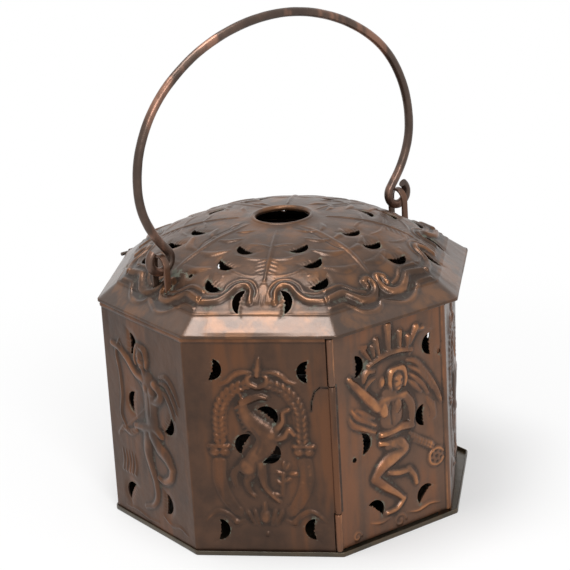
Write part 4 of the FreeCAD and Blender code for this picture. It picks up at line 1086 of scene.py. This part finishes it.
def scroll_gore(panel):
    """Two thick scrolls under a waved line, with long leaves between the piercings."""
    line = panel.line
    line([(-40, 89.4), (-32, 89.6), (-26, 89.8), (-22, 93), (-18, 96), (-11, 97.2), (-6, 96), (-3, 93.6),
         (3, 95.6), (10, 97.6), (17, 96.4), (23, 92.6), (26, 90), (33, 89.6), (41, 90)], 0.9, 1)
    for side, shift in ((-1, 0), (1, 1.2)):
        line(mirrored([(39, 85), (30, 84.4), (23, 84.2), (19, 87.2), (14, 90.4), (8, 91), (3.4, 88.6),
             (1.8, 84.6), (3.6, 81), (7, 82.6)], side), (1.7, 2, 2.1, 2.2, 2.3, 2.2, 2, 1.8, 1.6, 1.8),
             2.3)
        panel.boss((side * 6.6, 84.6 + shift), (1.9, 2.1), 2.2)
        line(mirrored([(36, 80), (28, 79.6), (21, 80.4), (15, 85.4), (9.5, 87.4)], side), 0.85, 1.2)
        for root, middle, tip, half in (((3, 72), (12, 72.4), (21, 66.6), 3.4),
                                        ((3, 60), (11, 58.6), (18, 50.4), 3.2),
                                        ((2.6, 46.6), (8.4, 44), (12.6, 37.4), 2.8),
                                        ((2.4, 34), (6.4, 30), (9.6, 24), 2.2)):
            line(mirrored([root, middle, tip], side), (0.9, 0.8 * half, 0.8), 0.8)
        line(mirrored([(27, 67), (31, 71), (36, 72)], side), (0.6, 1.3, 0.6), 1)
    line([(-3, 22), (-1, 34), (-0.6, 46), (0.4, 58), (0, 72), (0, 78)], (0.9, 1.4, 1.4, 1.6, 1.4, 0.8),
         0.6)
    line([(-8, 20), (-5.6, 30), (-5, 41), (-4.8, 52), (-2, 58)], 0.45, 0.6, "sink")


gore_chasing = []
for seed, motif in ((61, shell_gore), (62, scroll_gore)):
    gore = Chasing((-47.0, 12.0), (47.0, 107.0), seed)
    motif(gore)
    gore_chasing.append(gore.finish(7, 34))

row_places = [(side * across_share * lid_half - 3.1, out_share * lid_half, 90, 1)
              for across_share, out_share in ((0.179, 0.444), (0.203, 0.594), (0.268, 0.729))
              for side in (-1, 1)]
# one column of the left gore was cut nearer the front
left_gore, left_shift = 7, 8.4
left_places = [(a + left_shift * (a > 0), b, lean, side) for a, b, lean, side in row_places]
pair_places = [(side * 13.8, 85.5, -side * 15, side) for side in (-1, 1)]
eye_x, axis_z = 86.065, 155.526
lid_cut_size = (12.5, 5.6, 0.7)
strap_width, strap, arch_radius, arch_above_axis = 4.0, 1.6, 7.0, 3.2
lost_rivet = (-75.5, -13.5, 1.3)


def lid_room(x, y):
    _, _, v, outs, sides = gore_coordinates(x, y)
    room = np.minimum(np.hypot(x, y) - (vent_radius + vent_bead), lid_half - v)
    for k in range(face_count):
        # outward runs downhill, so a crescent's top tip points to the vent
        places = pair_places if k % 2 == 0 else left_places if k == left_gore else row_places
        places = [(a, -b, lean, side) for a, b, lean, side in places]
        room = np.minimum(room, piercing_room(sides[k], -outs[k], places, lid_cut_size, 300 + 10 * k))
    for side in (-1, 1):
        for leg in (-1, 1):
            slot = np.maximum(np.abs(x - side * eye_x) - strap_width / 2 - 0.25,
                              np.abs(y - leg * (arch_radius - strap / 2)) - strap / 2 - 0.25)
            room = np.minimum(room, slot)
    return np.minimum(room, np.hypot(x - lost_rivet[0], y - lost_rivet[1]) - lost_rivet[2])


def chased(field, own, u, v):
    """Reads a field of the gore motif that each place lies in."""
    return np.where(own % 2 == 0, *[gore.at(getattr(gore, field), u, v) for gore in gore_chasing])


def soldered(x, y):
    """The patch of old solder round the left eye staple's foot."""
    return np.exp(-((x + 76) / 5) ** 2 - ((y + 4) / 7) ** 2)


def by_staples(x, y):
    """1 on the two plain pads of the dome that the eye staples stand on."""
    return np.exp(-((np.abs(x) - 80) / 9) ** 4 - (y / 17) ** 4)


def lid_place(x, y, deep):
    own, u, v, _, _ = gore_coordinates(x, y)
    step = 0.25
    slope_x = (lid_height(x + step, y) - lid_height(x - step, y)) / (2 * step)
    slope_y = (lid_height(x, y + step) - lid_height(x, y - step)) / (2 * step)
    normal = np.column_stack([-slope_x, -slope_y, np.ones(len(x))])
    normal /= np.linalg.norm(normal, axis=1)[:, None]
    fade = np.clip((np.abs(v) * corner_share - np.abs(u)) / np.where(v < 76, 5.0, 1.6), 0, 1) ** 1.5
    fade *= np.clip((lid_half - v) / 2.0, 0, 1) * np.clip((np.hypot(x, y) - 20) / 4, 0, 1)
    relief = chased("proud", own, u, v) * fade
    relief *= 1 - 0.85 * by_staples(x, y)
    relief += 0.35 * hump(v - crease_half, 0.7)
    relief += 1.1 * hump(np.hypot(x, y) - vent_radius - vent_bead, 3.2)
    inner_room = lid_room(x, y)
    sunk = np.where(v < lid_half - 4, dished(inner_room, 0.5, 1.4), 0)
    sunk = np.where(np.hypot(x, y) < vent_radius + 6, 0, sunk)
    h = relief + 0.25 * soldered(x, y) - sunk - deep
    return np.column_stack([x, y, lid_height(x, y)]) + normal * h[:, None]


def lid_marks(x, y):
    own, u, v, _, _ = gore_coordinates(x, y)
    near = beside_cut(lid_room(x, y), 1.2) * (v < lid_half - 3)
    # Painted highlights along the band's hips and along the crease.
    corner = hump(np.abs(v) * corner_share - np.abs(u), 0.9) * (v > crease_half)
    ring = 0.6 * hump(v - crease_half, 0.7)
    wear_and_sheen = np.clip(0.9 * chased("wear_and_sheen", own, u, v) + 0.5 * corner + ring + 0.25 * near, 0, 1)
    # Painted shade just inside the crease.
    painted_shade = 0.5 * hump(v - crease_half + 2.2, 1.0)
    hollow = np.clip(chased("hollow", own, u, v) + painted_shade, 0, 1)
    return {"wear_and_sheen": wear_and_sheen, "hollow": hollow, "cut": np.clip(near + soldered(x, y), 0, 1),
            "lacquer": 1.0 * (v > crease_half + 0.8)}


steps = int(lid_half / lid_pitch)
for name, side_x, side_y in (("lid_front_left", -1, -1), ("lid_front_right", 1, -1),
                             ("lid_back_right", 1, 1), ("lid_back_left", -1, 1)):
    lines = [np.sort(side * np.linspace(0, lid_half + 0.4, steps)) for side in (side_x, side_y)]
    piece = pierced_sheet(name, *lines, lid_room, lid_place, lid_marks, lid_finish)
    settle(piece, "lid", "lid_copper", "lid_shell")
lip_line = octagon_path(lid_half - 0.7, (0, 0, (lid_low + lip_top) / 2 + 0.15), 1.6)
lid_lip = swept("lid_lip", strip_tree, lip_line, True, Width=1.5, Height=lip_top - lid_low + 0.5,
                Rounding=0.6, Step=1.5, Waver=0.5, Seed=6.0, Unevenness=0.25, Finish=lid_finish)
seat_line = octagon_path(lid_half - 5.6, (0, 0, lid_low + sheet / 2 + 0.1), 1.6)
lid_seat = swept("lid_seat", strip_tree, seat_line, True, Width=9.6, Height=sheet, Rounding=0.3,
                 Step=3.0, Finish=lid_finish)
vent_z = float(lid_height(np.array([vent_radius + vent_bead]), np.array([0.0]))[0])
vent_line = [((vent_radius + vent_bead) * math.cos(t), (vent_radius + vent_bead) * math.sin(t), vent_z)
             for t in np.linspace(0, 2 * math.pi, 90, endpoint=False)]
vent_rim = swept("lid_vent_rim", strip_tree, vent_line, True, Width=2 * vent_bead, Height=2 * vent_bead,
                 Rounding=vent_bead * 0.98, Step=1.2, Waver=1.0, Seed=8.0, Unevenness=0.35,
                 Finish=lid_finish)
lid_leaves = [hinge_leaf("lid_hinge_leaf_" + label, side * (lid_hinge_half - lid_knuckle),
                         side * lid_hinge_half, lid_half - 1.5, lid_pin[1], lip_top - sheet / 2, lid_finish)
              for label, side in (("left", -1), ("right", 1))]
lid_rolls = [knuckle("lid_knuckle_" + label, lid_pin, across, start, start + lid_knuckle, lid_finish, up)
             for label, start in (("left", -lid_hinge_half), ("right", lid_hinge_half - lid_knuckle))]
for piece in [lid_lip, lid_seat, vent_rim] + lid_leaves + lid_rolls:
    settle(piece, "lid", "lid_copper", "lid_shell")

# Eye staples: straps of copper bent to an arch over the bail's loop, their legs put through
# slots in the dome and turned out below it. The left one was soldered again later.
staple_finish = old_copper("staple_copper", (0.120, 0.070, 0.048), (0.060, 0.040, 0.030),
                           (0.44, 0.21, 0.12), (0.15, 0.07, 0.04), 0.6)
arch_middle = axis_z + arch_above_axis
strap_line = arch_radius - strap / 2
tail_z = float(lid_height(np.array([eye_x]), np.array([0.0]))[0]) - sheet - strap / 2 - 1.9
leg = [(arch_radius + 6.5, tail_z), (strap_line + 1, tail_z), (strap_line, tail_z + 1)]
arch = [(-strap_line * math.cos(t), arch_middle + strap_line * math.sin(t))
        for t in np.linspace(0, math.pi, 20)]
for label, side in (("left", -1), ("right", 1)):
    line = [(side * eye_x, y, z) for y, z in [(-y, z) for y, z in leg] + arch + leg[::-1]]
    staple = swept("eye_staple_bent_" + label, strip_tree, line, False, Width=strap_width,
                   Height=strap, Rounding=0.45, Step=0.8, Seed=9.0 + side, Unevenness=0.14,
                   Finish=staple_finish)
    settle(staple, "lid", "staple_copper", "eye_staple_" + label)

# Bail: one length of round wire, forged to a tall bow and closed into a loop at each end,
# where it hangs in the staples. Handling has worn it smooth.
bail_high = box_mm("bail_handle")[1]
bail_wire = 5.2
bail_half = bail_high.x - bail_wire / 2
crown_radius, side_radius, lower_radius = 1.1546 * bail_half, 0.7423 * bail_half, 0.5567 * bail_half
bail_run, loop_radius = 8.0, 6.9
lower_turn, loop_turn = math.radians(38), math.radians(268)
line_top = bail_high.z - bail_wire / 2


def arc_points(middle, radius, first, last, spacing=1.2):
    steps = max(3, int(abs(last - first) * radius / spacing))
    return [(middle[0] + radius * math.cos(t), 0, middle[1] + radius * math.sin(t))
            for t in np.linspace(first, last, steps)]


crown_turn = math.asin((bail_half - side_radius) / (crown_radius - side_radius))
crown_middle = (0, line_top - crown_radius)
side_middle = (bail_half - side_radius,
               crown_middle[1] + (crown_radius - side_radius) * math.cos(crown_turn))
lower_middle = (bail_half - lower_radius, side_middle[1])
half_line = arc_points(crown_middle, crown_radius, math.pi / 2, math.pi / 2 - crown_turn)
half_line += arc_points(side_middle, side_radius, math.pi / 2 - crown_turn, 0)[1:]
half_line += arc_points(lower_middle, lower_radius, 0, -lower_turn)[1:]
heading = (-math.sin(lower_turn), -math.cos(lower_turn))
join = half_line[-1]
start = (join[0] + heading[0] * bail_run, join[2] + heading[1] * bail_run)
loop_middle = (start[0] - heading[1] * loop_radius, start[1] + heading[0] * loop_radius)
half_line.append((start[0], 0, start[1]))
loop_start = math.pi - lower_turn
half_line += arc_points(loop_middle, loop_radius, loop_start, loop_start + loop_turn, 0.8)[1:]
line = [(-x, y, z) for x, y, z in half_line[:0:-1]] + half_line
bail_finish = old_copper("bail_copper", (0.145, 0.092, 0.068), (0.072, 0.050, 0.040), (0.42, 0.26, 0.19),
                         (0.30, 0.155, 0.105), 0.82, 0.2)
bail = swept("bail_bow", wire_tree, line, False, Width=bail_wire, Height=bail_wire,
             Rounding=bail_wire * 0.495, Step=1.0, Waver=0.9, Seed=12.0, Unevenness=0.10,
             Finish=bail_finish)
settle(bail, "bail", "bail_wire", "bail_handle")

# Hinge wires and ember pan: plain iron wire, and a raised iron pan on three turned feet with
# a riveted strap for its handle, black from the fire.
def old_iron(name, base, rust, shine):
    """Blackened iron with rust where the scale has gone."""
    finish = Finish(name)
    cloud, grain = finish.noise(14, 5.0, 0.6), finish.noise(1.2, 4.0, 0.65, shift=0.5)
    worn = (0.6 * cloud + 0.4 * grain).between(0.46, 0.64)
    colour = finish.mix((*base, 1.0), (*rust, 1.0), worn)
    soot = finish.noise(4, 3.0, shift=1.5).between(0.5, 0.7)
    colour = finish.mix(colour, (0.02, 0.018, 0.016, 1.0), 0.5 * soot)
    return finish.surface({"Base Color": colour, "Metallic": shine - 0.5 * shine * worn,
                           "Roughness": 0.46 + 0.3 * worn}, 0.6 * grain + 0.4 * cloud, 0.2)


iron_finish = old_iron("pan_iron", (0.050, 0.046, 0.043), (0.090, 0.050, 0.032), 0.6)
rivet_finish = old_iron("rivet_iron", (0.075, 0.068, 0.062), (0.10, 0.060, 0.040), 0.7)
wire_finish = old_iron("hinge_wire", (0.10, 0.078, 0.062), (0.11, 0.062, 0.040), 0.7)
for node, finish in (("ember_pan", iron_finish), ("ember_pan_handle", iron_finish),
                     ("ember_pan_feet", iron_finish), ("ember_pan_rivets", rivet_finish),
                     ("door_hinge_pin", wire_finish), ("lid_hinge_pin", wire_finish)):
    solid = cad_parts[node]
    solid.data.materials.clear()
    solid.data.materials.append(finish)

# Studio: a pale floor that turns to plain white away from the warmer, a soft box straight
# above it, a weaker one in front, and a white surround for the metal to reflect.
seen_by = ("Is Camera Ray", "Is Glossy Ray", "Is Transmission Ray")
floor_finish = Finish("floor_white")
camera_ray, glossy_ray, clear_ray = [floor_finish.node("LightPath", output=kind) for kind in seen_by]
seen = (camera_ray + glossy_ray + clear_ray).math("MINIMUM", 1.0)
away = floor_finish.node("VectorMath", {0: floor_finish.place}, output="Value", operation="LENGTH")
share = seen * (0.45 + 0.55 * away.between(0.10, 0.42))
matt = floor_finish.node("BsdfDiffuse", {"Color": (0.86, 0.86, 0.86, 1.0)})
white = floor_finish.node("Emission", {"Color": (1.0, 1.0, 1.0, 1.0), "Strength": 1.0})
blend = floor_finish.node("MixShader", {0: share, 1: matt, 2: white})
floor_finish.node("OutputMaterial", {"Surface": blend})
reach = 6.0
floor_mesh = bpy.data.meshes.new("floor")
floor_mesh.from_pydata([(-reach, -reach, 0), (reach, -reach, 0), (reach, reach, 0), (-reach, reach, 0)],
                       [], [(0, 1, 2, 3)])
floor_mesh.materials.append(floor_finish.material)
link("floor", floor_mesh)
world = bpy.data.worlds.new("surround")
bpy.context.scene.world = world
surround = Nodes(world)
diffuse_level = 0.46
camera_ray, glossy_ray, clear_ray = [surround.node("LightPath", output=kind) for kind in seen_by]
seen = camera_ray.math("MAXIMUM", glossy_ray).math("MAXIMUM", clear_ray)
level = surround.node("MapRange", {"Value": seen, "To Min": diffuse_level, "To Max": 1.0})
sky = surround.node("Background", {"Color": (1.0, 1.0, 1.0, 1.0), "Strength": level})
surround.node("OutputWorld", {"Surface": sky})


def soft_box(name, place, size, watts):
    """A square soft lamp that points at the middle of the warmer."""
    data = bpy.data.lights.new(name, "AREA")
    data.size, data.energy = size, watts
    lamp = link(name, data)
    lamp.location = place
    lamp.rotation_mode = "QUATERNION"
    lamp.rotation_quaternion = (Vector(place) - Vector((0, 0, 0.11))).to_track_quat("Z", "Y")


soft_box("box_above", (-0.19, 0.05, 1.20), 0.50, 8.6)
soft_box("box_front", (-0.50, -1.10, 0.85), 0.50, 8.0)

bpy.context.scene.view_settings.view_transform = "Standard"
